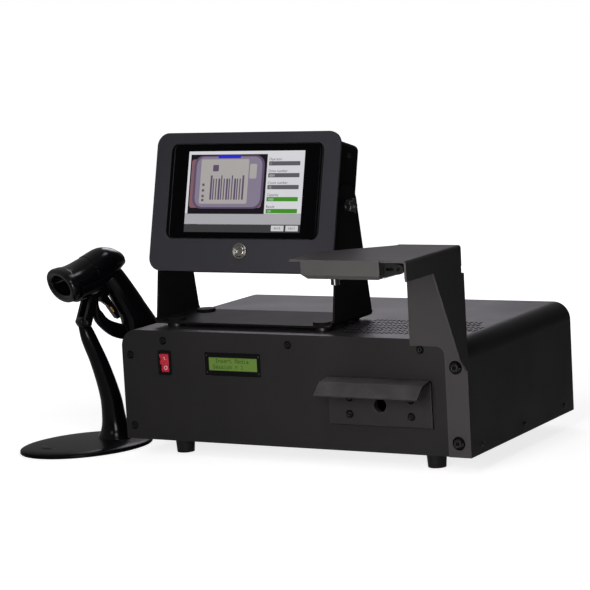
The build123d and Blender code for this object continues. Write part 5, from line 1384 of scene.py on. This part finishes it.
    def _gasket(self) -> None:
        """The thin black gasket that frames the touch glass."""
        seat = self.face.matrix(0.0, self.glass_rise)
        mesh = bmesh.new()
        rings = []
        first = self.GASKET[0][0]
        for grow, height in self.GASKET:
            taller = first + (grow - first) * self.gasket_taller
            outline = rounded_rect(self.glass[0] + grow, self.glass[1] + taller,
                                   self.glass_r + grow * self.gasket_rounder, 8)
            rings.append([seat @ (Vector((x, y, height)) * MM) for x, y in outline])
        Maker.add_loft(mesh, rings, hoop=True)
        self.maker.seat("glass_gasket", mesh, Palette.GLASS, "display")

    def _button(self) -> None:
        """The push button: a turned steel ring and a dished cap that moves in it."""
        seat = self.face.matrix(0.0, self.button_up)
        for name, profile, hoop, body, node in (
                ("button_rim", self.BUTTON_RIM, True, "display", "button_ring"),
                ("button_dish", self.BUTTON_DISH, False, "display_button", "button_cap")):
            mesh = bmesh.new()
            Maker.add_lathe(mesh, profile, seat, count=64, hoop=hoop)
            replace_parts(self.maker.seat(name, mesh, Palette.STEEL, body), node)

    def _knob(self, side: int) -> None:
        """A lobed clamping knob with a steel stud in it.

        Args:
            side: -1 for the left knob, 1 for the right one.
        """
        name = "knob_left" if side < 0 else "knob_right"
        out = self.yoke_x + side * (self.yoke_half + self.knob_gap)
        spot = CABINET + Vector((out, self.pivot[1], self.pivot[2]))
        seat = Seat(spot, Vector((0, side, 0)), Z_AXIS).matrix()
        mesh = bmesh.new()
        Maker.add_lathe(mesh, self.KNOB_GRIP, seat, count=100, lobes=self.KNOB_LOBES)
        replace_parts(self.maker.seat(f"{name}_grip", mesh, Palette.KNOB, name), name)
        mesh = bmesh.new()
        Maker.add_lathe(mesh, self.KNOB_STUD, seat, count=self.STUD_SIDES[side])
        self.maker.seat(f"{name}_stud", mesh, Palette.STEEL, name)

    def _spot(self, u: float, v: float) -> Point2:
        """A place on the page, from shares of its width and of its height downwards."""
        return ((u - 0.5) * self.page_w, self.glass_rise + self.page_up + (0.5 - v) * self.page_h)

    def _tiles(self, name: str, ink: Ink, level: int, tiles: Iterable[Sequence[float]]) -> None:
        """Lays rounded tiles of one colour on the page.

        Args:
            name: the piece's name.
            ink: its colour.
            level: the layer that it lies in, counted from the glass.
            tiles: (left, top, right, bottom) of each in shares of the page, and its corners'
                radius in millimetres.
        """
        mesh = bmesh.new()
        seat = self.face.matrix()
        low, high = (level - 1) * self.layer * 0.5, level * self.layer
        for left, top, right, bottom, radius in tiles:
            (x0, y1), (x1, y0) = self._spot(left, top), self._spot(right, bottom)
            outline = rounded_rect(x1 - x0, y1 - y0, radius, 4, ((x0 + x1) / 2, (y0 + y1) / 2))
            Maker.add_prism(mesh, outline, seat, low, high)
        self.maker.seat(name, mesh, ink.value, "display")

    def _words(self, name: str, ink: Ink, level: int,
               lines: Iterable[tuple[str, float, float, float, str]]) -> None:
        """Writes plain words on the page.

        Args:
            name: the piece's name.
            ink: its colour.
            level: the layer that it lies in, counted from the glass.
            lines: (words, left, base, height, alignment) of each line.
        """
        mesh = bmesh.new()
        for words, left, base, height, align in lines:
            x, y = self._spot(left, base)
            Maker.add_words(mesh, words, height, self.face.matrix(x, y, level * self.layer), align)
        self.maker.seat(name, mesh, ink.value, "display")

    def _page(self) -> None:
        """The page: camera picture at the left, fields at the right, a bar below."""
        for name, ink, level, tiles in self.PICTURE:
            self._tiles(name, ink, level, tiles)
        bars = []
        for number in range(self.BAR_COUNT):
            left = self.BAR_LEFT + number * self.BAR_PITCH
            right = left + self.BAR_WIDTHS[number % len(self.BAR_WIDTHS)]
            top = self.BAR_TOPS[number % len(self.BAR_TOPS)]
            bars.append((left, top, right, self.BAR_FOOT, self.BAR_R))
        self._tiles("picture_label_print", Ink.CASE, 7, [*bars, *self.LABEL_MARKS])
        for name, ink, level, tiles in self.FORM:
            self._tiles(name, ink, level, tiles)
        names = [(label, self.names_left, line, self.name_h, "LEFT")
                 for label, _, line, _ in self.FIELDS]
        names += [(label, middle, self.BUTTON_LINE, self.button_word_h, "CENTER")
                  for label, middle in self.BUTTONS]
        self._words("field_names", Ink.TEXT, 2, names)
        self._words("field_values", Ink.LIGHT, 3,
                    [(value, self.values_left, line, self.value_h, "LEFT")
                     for _, value, _, line in self.FIELDS])


# ---------------------------------------------------------------- hand scanner


@dataclass
class HandScanner(Assembly):
    """Hand scanner in its cradle on the oval stand, laid out along its plane of symmetry."""

    origin: Point2 = (-220.676, -47.0)
    facing: float = 60.0
    base_ahead: float = 5.0
    base_half: Point2 = (81.0, 63.0)
    base_t: float = 7.0
    crown_h: float = 2.2
    crown_fill: float = 0.98
    crown_inset: float = 4.0
    plate_half: Point2 = (9.0, 14.0)
    plate_t: float = 1.1
    plate_soft: float = 0.5
    plate_sunk: float = 1.6
    plate_ahead: float = 0.6
    neck_back: float = 34.0
    neck_foot: Point2 = (21.5, 23.5)
    neck_tip: Point2 = (6.5, 6.5)
    neck_top: float = 146.0
    neck_sunk: float = 0.4
    hinge: Point2 = (-1.5, 147.0)
    knuckle_r: float = 7.0
    knuckle_half_w: float = 7.0
    knuckle_edge: Point2 = (1.0, 0.3)
    pin_r: float = 2.45
    pin_head_r: float = 4.5
    pin_half_l: float = 12.6
    pin_head_t: float = 2.5
    mouth: Point2 = (22.5, 193.5)
    mouth_half: Point2 = (34.0, 20.5)
    mouth_depth: float = 12.0
    bore_front: float = 0.2
    bore_deep: Point2 = (2.0, 2.5)
    nose_l: float = 4.0
    nose_wall: float = 8.5
    lip_w: float = 1.6
    lip_deep: float = 0.6
    bumper_l: float = 7.2
    bumper_out: float = 0.35
    head_tilt: float = 15.0
    head_l: float = 80.0
    tail_l: float = 3.0
    shell_from: float = 0.46
    shell_out: float = 0.65
    shell_in: float = 0.6
    handle_top: Point2 = (-43.0, 195.0)
    handle_end: Point2 = (-99.0, 101.0)
    handle_half: Point2 = (17.0, 17.0)
    handle_edge: float = 4.2
    handle_edge_from: float = 0.96
    trigger: Point2 = (-27.0, 171.5)
    loop_l: float = 50.0
    guard_half_w: float = 6.0
    lug_r: float = 3.6
    lug_inner: float = 5.4
    lug_t: float = 2.0
    lug_h: float = 24.0
    lug_lean: float = 10.0
    indicator_at: float = 0.12
    indicator_out: float = 0.15
    indicator_half: Point2 = (2.4, 1.0)
    # Underside, top and width of the softened rim.
    indicator_span: Triple = (-0.4, 0.25, 0.15)
    glint_span: Triple = (-5.32, -4.7, 0.2)

    # Share of the neck's height: how far back it lies, and its half length and half width, as
    # shares of the way from the tip's to the foot's.
    NECK = ((0.0, 1.0, 1.0, 1.0), (0.06, 0.99, 0.68, 0.675), (0.165, 0.96, 0.49, 0.48),
            (0.353, 0.88, 0.38, 0.377), (0.633, 0.57, 0.29, 0.234), (0.849, 0.24, 0.22, 0.17),
            (0.95, 0.11, 0.12, 0.02), (1.0, 0.044, 0.0, 0.0))
    # Share of the head's length: width, height and lift, as shares of the mouth's.
    HEAD = ((0.0, 1.0, 1.0, 0.0), (0.2, 0.9, 0.93, -0.01), (0.45, 0.8, 0.95, 0.08),
            (0.72, 0.68, 0.92, 0.24), (0.9, 0.52, 0.66, 0.24), (1.0, 0.34, 0.4, 0.14))
    # Share of the handle's length: width, depth and shift forward, as shares of its half sizes.
    HANDLE = ((-0.17, 0.3, 0.3, 0.1), (-0.12, 0.6, 0.62, 0.08), (-0.06, 0.78, 0.8, 0.04),
              (0.0, 0.84, 0.84, 0.0), (0.3, 0.94, 0.95, 0.02), (0.45, 0.97, 1.02, 0.08),
              (0.6, 0.99, 1.24, 0.25), (0.8, 0.98, 1.2, 0.22), (1.0, 0.92, 1.02, 0.1))
    # Step along the finger guard: its outer and inner edge from the trigger's pin, as shares of
    # the loop's length.
    GUARD = ((0, 0.24, 0.37, 0.12, 0.37), (1, 0.24, -0.13, 0.12, -0.13),
             (2, 0.23, -0.43, 0.02, -0.31), (3, 0.08, -0.67, -0.12, -0.48),
             (4, -0.26, -0.94, -0.36, -0.6), (5, -0.82, -1.09, -0.7, -0.7),
             (5.4, -0.98, -1.06, -0.86, -0.64))
    # Corners of the trigger's amber edge, in the same shares: a painted highlight with a painted
    # glow where light catches the yellow trigger.
    TRIGGER_GLINT = ((-0.145, -0.205), (-0.225, -0.325), (-0.25, -0.31), (-0.175, -0.19))
    # The bumper's front: how far inside its rim, and how far behind its foremost point.
    BUMPER = ((5.4, 0.0), (2.6, 0.05), (1.2, 0.5), (0.35, 1.4), (0.0, 2.6))
    # The bumper's side on the head: how far before its rear rim, and how far out of the head.
    BUMPER_SIDE = ((0.5, 0.5), (0.1, 0.2), (0.0, -0.4))
    # The base's rim: how far inside its outline, and over the table or under the crown's foot.
    BASE_FOOT = ((0.6, 0.0), (0.0, 0.7))
    BASE_EDGE = ((0.0, 2.2), (0.35, 1.3), (1.2, 0.6), (2.6, 0.0))
    CROWN_SHARES = (0.10, 0.2, 0.35, 0.5, 0.7, 0.9)
    # The handle's closed end: share of its length, and how far inside its outline.
    HANDLE_TIP = ((1.0, 6.0), (0.992, 6.6))
    # Angles in degrees that round off an end, and those of the pin's dome.
    ROUND_OFF = (20, 40, 60, 80)
    PIN_DOME = (0, 20, 40, 60, 78)
    # How full the sections are at their corners: 2 is an ellipse.
    NECK_FULL, HEAD_FULL, FLARE_FULL, BUMPER_FULL = 2.15, 2.12, 2.05, 2.15
    HANDLE_FULL, GUARD_FULL, INDICATOR_FULL = 2.3, 3.0, 2.2
    # Sections along each skin.
    NECK_STEPS, HEAD_STEPS, HANDLE_STEPS, GUARD_STEPS, SHELL_STEPS = 48, 36, 40, 40, 30
    # Points of the head's section: their number, the upper shell's, and the indicator's.
    HEAD_POINTS = 72
    SHELL_POINTS = range(-3, 40)
    INDICATOR_POINT = 57

    # The trigger is finished in gloss black: painted shade over its yellow plastic, of which only
    # the lit edge is amber.
    FINISHES = (
        (Palette.GLOSS, ("stand_base", "stand_neck", "cradle", "scanner_shell",
                         "scanner_trigger")),
        (Palette.NOSE, ("scanner_nose",)),
        (Palette.FILTER, ("scanner_window",)),
    )

    def add_pieces(self) -> None:
        """Adds the smooth moulded skins of the scanner and its stand, its indicator, and the painted
        highlight on its trigger.
        """
        self._base()
        self._neck()
        self._body()
        self._nose()
        self._top_shell()
        self._indicator_and_glint()

    @property
    def ahead(self) -> Vector:
        """Level unit vector to where the scanner points."""
        turn = math.radians(self.facing)
        return Vector((-math.cos(turn), -math.sin(turn), 0))

    @property
    def lateral(self) -> Vector:
        """Level unit vector across the scanner."""
        return self.ahead.cross(Z_AXIS)

    @property
    def side(self) -> Seat:
        """The plane of symmetry: ahead along it, and height above the table."""
        return Seat(Vector((*self.origin, 0)), self.ahead, Z_AXIS)

    def _level(self, height: float, back: float = 0.0) -> Seat:
        """A level plane, its first axis ahead."""
        spot = Vector((*self.origin, height)) - self.ahead * back
        return Seat(spot, self.ahead, Z_AXIS.cross(self.ahead))

    def _across(self, along: float, height: float, angle: float) -> Seat:
        """A plane across the scanner that faces back and up by an angle in degrees.

        Args:
            along: how far ahead it lies, in millimetres.
            height: its height over the table.
            angle: how far it leans, in degrees.

        Returns:
            The plane.
        """
        turn = math.radians(angle)
        spot = Vector((*self.origin, height)) + self.ahead * along
        return Seat(spot, self.lateral, self.ahead * math.sin(turn) + Z_AXIS * math.cos(turn))

    def _behind(self, distance: float) -> Seat:
        """The plane across the head, that far behind its mouth.

        Args:
            distance: the distance in millimetres.

        Returns:
            The plane.
        """
        turn = math.radians(self.head_tilt)
        return self._across(self.mouth[0] - distance * math.cos(turn),
                            self.mouth[1] + distance * math.sin(turn), self.head_tilt)

    @staticmethod
    def _ring(seat: Seat, outline: Sequence[Point2]) -> list[Vector]:
        """An outline's points on a seat."""
        return [seat.point(x, y) for x, y in outline]

    def _base(self) -> None:
        """The oval base: crowned, with a rounded rim, and a bare raised oval at its front."""
        half_a, half_b = self.base_half
        top = self.base_t - self.crown_h
        rim = [*self.BASE_FOOT, *((inset, top - down) for inset, down in self.BASE_EDGE)]
        crown = [(half_b * share,
                  top + self.crown_h * (1 - (1 - share) ** 2) ** 0.5 * self.crown_fill)
                 for share in self.CROWN_SHARES]
        rings = []
        for inset, height in rim + crown:
            shrink = 1 - inset / half_b
            half_l = half_a - inset if inset < self.crown_inset else half_a * shrink
            rings.append(self._ring(self._level(height, -self.base_ahead),
                                    oval(half_l, half_b * shrink, count=96)))
        mesh = bmesh.new()
        Maker.add_loft(mesh, rings)
        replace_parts(self.maker.seat("base_moulding", mesh, Palette.STAND, "cabinet"), "stand_base")
        seat = self._level(self.base_t - self.plate_sunk,
                           -self.base_ahead - half_a * self.plate_ahead)
        mesh = bmesh.new()
        Maker.add_prism(mesh, oval(*self.plate_half, count=48), seat.matrix(), 0.0, self.plate_t,
                        self.plate_soft)
        self.maker.seat("base_plate_oval", mesh, Palette.STAND, "cabinet")

    def _neck(self) -> None:
        """The swept neck with its flared foot, the hinge barrel and the pin's domed ends."""
        rings = []
        for step in range(self.NECK_STEPS + 1):
            rise = step / self.NECK_STEPS
            back, length, width = eased(self.NECK, rise)
            half_l = self.neck_tip[0] + length * (self.neck_foot[0] - self.neck_tip[0])
            half_w = self.neck_tip[1] + width * (self.neck_foot[1] - self.neck_tip[1])
            height = self.base_t - self.neck_sunk + rise * (self.neck_top - self.base_t)
            seat = self._level(height, back * self.neck_back)
            rings.append(self._ring(seat, oval(half_l, half_w, self.NECK_FULL, 48)))
        mesh = bmesh.new()
        Maker.add_loft(mesh, rings)
        seat = self.side.matrix(*self.hinge)
        r, w, (flat, mid) = self.knuckle_r, self.knuckle_half_w, self.knuckle_edge
        Maker.add_lathe(mesh, [(0, -w), (r - flat, -w), (r - mid, -w + mid), (r, -w + flat),
                               (r, w - flat), (r - mid, w - mid), (r - flat, w), (0, w)], seat)
        r, low = self.pin_head_r, self.pin_half_l
        dome = [(x, low + y) for x, y in arc(r, self.pin_head_t, self.PIN_DOME)]
        for sign in (-1, 1):
            profile = [(0, w / 2), (self.pin_r, w / 2), (self.pin_r, low), (r, low), *dome,
                       (0, low + self.pin_head_t)]
            profile = [(x, sign * y) for x, y in profile]
            Maker.add_lathe(mesh, profile, seat, count=36)
        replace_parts(self.maker.seat("neck_moulding", mesh, Palette.GLOSS, "cabinet"), "stand_neck")

    def _section(self, share: float, grow: float = 0.0) -> tuple[Seat, list[Point2]]:
        """The head's cross-section at a share of its length, grown by some millimetres.

        Args:
            share: the share of the head's length.
            grow: how far it is grown.

        Returns:
            The plane that it lies in, and its outline.
        """
        width, height, lift = eased(self.HEAD, share)
        half_w, half_h = self.mouth_half
        outline = oval(width * half_w + grow, height * half_h + grow, self.HEAD_FULL,
                       self.HEAD_POINTS, (0.0, lift * half_h))
        return self._behind(share * self.head_l), outline

    def _body(self) -> None:
        """Head, handle, finger guard and trigger lugs as one moulding."""
        mesh = bmesh.new()
        half_w, half_h = self.mouth_half
        inner = oval(half_w - self.nose_wall, half_h - self.nose_wall, count=self.HEAD_POINTS)
        rings = [self._ring(self._behind(depth), inner)
                 for depth in (self.mouth_depth, self.bore_front)]
        for step in range(self.HEAD_STEPS + 1):
            rings.append(self._ring(*self._section(step / self.HEAD_STEPS)))
        tail = self._section(1.0)[1]
        middle = Vector((0.0, self.HEAD[-1][3] * half_h))
        for swell, behind in arc(1.0, self.tail_l, self.ROUND_OFF):
            closing = [tuple(middle + (Vector(point) - middle) * swell) for point in tail]
            rings.append(self._ring(self._behind(self.head_l + behind), closing))
        Maker.add_loft(mesh, rings)
        self._handle(mesh)
        self._guard(mesh)
        self._lugs(mesh)
        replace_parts(self.maker.seat("scanner_moulding", mesh, Palette.GLOSS, "scanner"),
                    "scanner_shell")

    def _handle(self, mesh: Mesh) -> None:
        """Adds the handle, with its rounded end.

        Args:
            mesh: the bmesh that it goes into.
        """
        run = Vector(self.handle_end) - Vector(self.handle_top)
        angle = -math.degrees(math.atan2(-run.y, -run.x))
        first, last, edge = self.HANDLE[0][0], self.handle_edge_from, self.handle_edge
        ends = [(first + n / self.HANDLE_STEPS * (last - first), 0.0)
                for n in range(self.HANDLE_STEPS + 1)]
        ends += [(last + rise, edge - out)
                 for out, rise in arc(edge, 1 - last, (*self.ROUND_OFF, 90))]
        ends += self.HANDLE_TIP
        rings = []
        for share, inset in ends:
            wide, deep, shift = eased(self.HANDLE, share)
            spot = Vector(self.handle_top) + run * share
            half_w, half_d = self.handle_half
            outline = oval(half_w * wide - inset, half_d * deep - inset, self.HANDLE_FULL, 56,
                           (0.0, -half_d * shift))
            rings.append(self._ring(self._across(spot.x, spot.y, angle), outline))
        Maker.add_loft(mesh, rings)

    def _guard(self, mesh: Mesh) -> None:
        """Adds the finger guard from the head round to the handle.

        Args:
            mesh: the bmesh that it goes into.
        """
        rings = []
        for step in range(self.GUARD_STEPS + 1):
            edges = eased(self.GUARD, step / self.GUARD_STEPS * self.GUARD[-1][0])
            outer = Vector(self.trigger) + Vector(edges[:2]) * self.loop_l
            inner = Vector(self.trigger) + Vector(edges[2:]) * self.loop_l
            middle, half = (outer + inner) / 2, (outer - inner) / 2
            rings.append([self.side.point(*(middle + half * x), out=y * self.guard_half_w)
                          for x, y in oval(1.0, 1.0, self.GUARD_FULL, 28)])
        Maker.add_loft(mesh, rings)

    def _lugs(self, mesh: Mesh) -> None:
        """Adds the two lugs that carry the trigger's pin.

        Args:
            mesh: the bmesh that it goes into.
        """
        x, z = self.trigger
        outline = [(x + dx, z + dz) for dx, dz in arc(self.lug_r, self.lug_r, range(180, 361, 20))]
        outline += [(x + self.lug_r, z + self.lug_h),
                    (x - self.lug_r - self.lug_lean, z + self.lug_h)]
        for low in (-self.lug_inner - self.lug_t, self.lug_inner):
            Maker.add_prism(mesh, outline, self.side.matrix(), low, low + self.lug_t)

    def _nose(self) -> None:
        """The rubber bumper round the mouth, a little proud of the head behind it."""
        half_w, half_h = self.mouth_half
        lip = self.nose_wall - self.lip_w
        hole = oval(half_w - self.nose_wall, half_h - self.nose_wall, 2.0, self.HEAD_POINTS)
        flare = oval(half_w - lip, half_h - lip, self.FLARE_FULL, self.HEAD_POINTS)
        front = -self.nose_l
        deep, shallow = self.bore_deep
        rings = [self._ring(self._behind(deep), hole),
                 self._ring(self._behind(front + shallow), hole),
                 self._ring(self._behind(front + self.lip_deep), flare)]
        for inset, back in self.BUMPER:
            outline = oval(half_w - inset, half_h - inset, self.BUMPER_FULL, self.HEAD_POINTS)
            rings.append(self._ring(self._behind(front + back), outline))
        for before, grow in ((self.bumper_l, self.bumper_out), *self.BUMPER_SIDE):
            distance = self.bumper_l - before
            rings.append(self._ring(self._behind(distance),
                                    self._section(distance / self.head_l, grow)[1]))
        mesh = bmesh.new()
        Maker.add_loft(mesh, rings, hoop=True)
        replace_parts(self.maker.seat("nose_bumper", mesh, Palette.NOSE, "scanner"), "scanner_nose")

    def _top_shell(self) -> None:
        """The upper shell, which laps over the head's lower half with a fine step."""
        rings = []
        upper = [n % self.HEAD_POINTS for n in self.SHELL_POINTS]
        for step in range(self.SHELL_STEPS + 1):
            share = self.shell_from + step / self.SHELL_STEPS * (1 - self.shell_from)
            seat, outer = self._section(share, self.shell_out)
            inner = self._section(share, -self.shell_in)[1]
            rings.append(self._ring(seat, [outer[n] for n in upper]
                                    + [inner[n] for n in reversed(upper)]))
        mesh = bmesh.new()
        Maker.add_loft(mesh, rings)
        self.maker.seat("top_shell", mesh, Palette.GLOSS, "scanner")

    def _indicator_and_glint(self) -> None:
        """The pale indicator beside the mouth, and the amber edge of the trigger: a painted
        highlight with a painted glow, for the lit edge of the yellow trigger.
        """
        seat, outline = self._section(self.indicator_at, self.indicator_out)
        x, y = outline[self.INDICATOR_POINT]
        out = (seat.across * x + seat.up * y).normalized()
        place = Seat(seat.origin + seat.across * x + seat.up * y, seat.out, out.cross(seat.out))
        mesh = bmesh.new()
        Maker.add_prism(mesh, oval(*self.indicator_half, self.INDICATOR_FULL, 28),
                        place.matrix(), *self.indicator_span)
        self.maker.seat("indicator_lens", mesh, Palette.PEARL, "scanner")
        outline = [tuple(Vector(self.trigger) + Vector(corner) * self.loop_l)
                   for corner in self.TRIGGER_GLINT]
        mesh = bmesh.new()
        Maker.add_prism(mesh, outline, self.side.matrix(), *self.glint_span)
        self.maker.seat("trigger_glint", mesh, Palette.AMBER_GLINT, "trigger")


# ---------------------------------------------------------------- studio


@dataclass
class Studio:
    """Pale floor, soft lamps, white surround, and the camera at the picture's angle."""

    aim: Triple = (83.5, -75.0, 190.0)
    distance: float = 2626.0
    yaw: float = 29.85
    pitch: float = 7.90
    roll: float = -3.17
    lens: float = 146.4
    sensor_w: float = 36.0
    clip: Point2 = (0.05, 60.0)
    ambient: Triple = (0.075, 0.075, 0.08)
    sweep: Point2 = (0.24, 0.03)
    sweep_reach: Point2 = (-0.5, 0.4)
    floor_half: float = 9.0
    floor_drop: float = 0.0004
    floor_shade: float = 0.45
    floor_seen: Point2 = (0.80, 1.0)
    floor_reach: Point2 = (0.35, 1.1)
    floor_gloss: float = 0.05
    lamp_target: Triple = (0.03, 0.0, 0.15)
    lamps: Sequence[tuple[str, Triple, float, float, Triple]] = (
        ("key_right", (0.28, -0.62, 0.24), 0.25, 2.6, (1.0, 0.95, 0.925)),
        ("softbox_front", (-0.35, -1.6, 1.0), 0.5, 1.9, (0.95, 0.95, 1.0)),
        ("lamp_front_top", (0.30, -0.75, 1.0), 0.3, 2.8, (1.0, 0.96, 0.93)),
        ("softbox_back", (-0.72, 1.45, 1.15), 0.8, 8.5, (0.96, 0.90, 1.0)),
        ("softbox_top", (0.0, 0.4, 1.7), 0.35, 2.8, (0.95, 0.93, 1.0)),
    )

    def build(self) -> None:
        """Sets the stage."""
        self._camera()
        self._lamps()
        self._surround()
        self._floor()
        scene = bpy.context.scene
        scene.view_settings.view_transform = "Standard"

    def _camera(self) -> None:
        """Places the camera."""
        yaw, pitch, roll = (math.radians(a) for a in (self.yaw, self.pitch, self.roll))
        right = Vector((math.cos(yaw), math.sin(yaw), 0))
        ahead = Vector((-math.sin(yaw) * math.cos(pitch), math.cos(yaw) * math.cos(pitch),
                        -math.sin(pitch)))
        top = right.cross(ahead)
        side = right * math.cos(roll) + top * math.sin(roll)
        head = top * math.cos(roll) - right * math.sin(roll)
        data = bpy.data.cameras.new("camera")
        data.lens = self.lens
        data.sensor_width = self.sensor_w
        data.clip_start, data.clip_end = self.clip
        camera = placed("camera", data)
        frame = Matrix((side, head, -ahead)).transposed().to_4x4()
        frame.translation = (Vector(self.aim) - ahead * self.distance) * MM
        camera.matrix_world = frame
        bpy.context.scene.camera = camera

    def _lamps(self) -> None:
        """Hangs the soft lamps, all aimed at the object's middle."""
        for name, place, size, power, colour in self.lamps:
            data = bpy.data.lights.new(name, "AREA")
            data.shape = "SQUARE"
            data.size = size
            data.energy = power
            data.color = colour
            lamp = placed(name, data)
            lamp.location = place
            lamp.visible_camera = False
            lamp.rotation_mode = "QUATERNION"
            to_target = Vector(self.lamp_target) - Vector(place)
            lamp.rotation_quaternion = to_target.to_track_quat("-Z", "Y")

    @staticmethod
    def _seen(tree: Tree) -> tuple[Socket, Socket]:
        """Tells the rays that see the background from those that carry light.

        Args:
            tree: the node tree.

        Returns:
            The mask of camera and glass rays, and that of these and glossy rays.
        """
        path = tree.nodes.new("ShaderNodeLightPath").outputs
        clear = calculate(tree, "MAXIMUM", path["Is Camera Ray"], path["Is Transmission Ray"])
        return clear, calculate(tree, "MAXIMUM", clear, path["Is Glossy Ray"])

    def _surround(self) -> None:
        """White surround for the camera, a dim sweep in reflections, soft grey for light."""
        world = bpy.data.worlds.new("surround")
        bpy.context.scene.world = world
        world.use_nodes = True
        tree = world.node_tree
        clear, gloss = self._seen(tree)
        x, _, _ = split(tree, tree.nodes.new("ShaderNodeTexCoord").outputs["Generated"])
        sweep = spread(tree, x, self.sweep, self.sweep_reach)
        shown = mix_colours(tree, clear, sweep, (1.0, 1.0, 1.0))
        tree.links.new(mix_colours(tree, gloss, self.ambient, shown),
                       tree.nodes["Background"].inputs["Color"])

    def _floor(self) -> None:
        """A pale floor that stays white and keeps the object's soft shadow."""
        data = bpy.data.meshes.new("studio_floor")
        half = self.floor_half
        data.from_pydata([(-half, -half, 0), (half, -half, 0), (half, half, 0), (-half, half, 0)],
                         [], [(0, 1, 2, 3)])
        floor = placed("studio_floor", data)
        floor.location.z = -self.floor_drop
        made = bpy.data.materials.new("studio_floor")
        made.use_nodes = True
        tree = made.node_tree
        tree.nodes.clear()
        outlet = tree.nodes.new("ShaderNodeOutputMaterial")
        plain = tree.nodes.new("ShaderNodeBsdfDiffuse")
        feed(tree, (self.floor_shade,) * 3, plain.inputs["Color"])
        white = tree.nodes.new("ShaderNodeEmission")
        clear, gloss = self._seen(tree)
        away = tree.nodes.new("ShaderNodeVectorMath")
        away.operation = "LENGTH"
        tree.links.new(tree.nodes.new("ShaderNodeTexCoord").outputs["Object"], away.inputs[0])
        seen = spread(tree, away.outputs["Value"], self.floor_seen, self.floor_reach, smooth=True)
        shown = mix_colours(tree, gloss, (0.0, 0.0, 0.0), (self.floor_gloss,) * 3)
        tree.links.new(mix_colours(tree, clear, shown, seen), white.inputs["Color"])
        both = tree.nodes.new("ShaderNodeAddShader")
        tree.links.new(plain.outputs[0], both.inputs[0])
        tree.links.new(white.outputs[0], both.inputs[1])
        tree.links.new(both.outputs[0], outlet.inputs["Surface"])
        data.materials.append(made)


# ---------------------------------------------------------------- whole scene


def main() -> None:
    """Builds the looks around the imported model."""
    logging.basicConfig(level=logging.INFO, format="%(name)s: %(message)s")
    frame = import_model()
    maker = Maker(PaintShop())
    Studio().build()
    for assembly in (Cabinet, ControlPanel, CameraArm, TouchUnit, HandScanner):
        assembly(maker, frame["nodes"]).build()
        LOG.info("%s done", assembly.__name__)


if __name__ == "__main__":
    main()
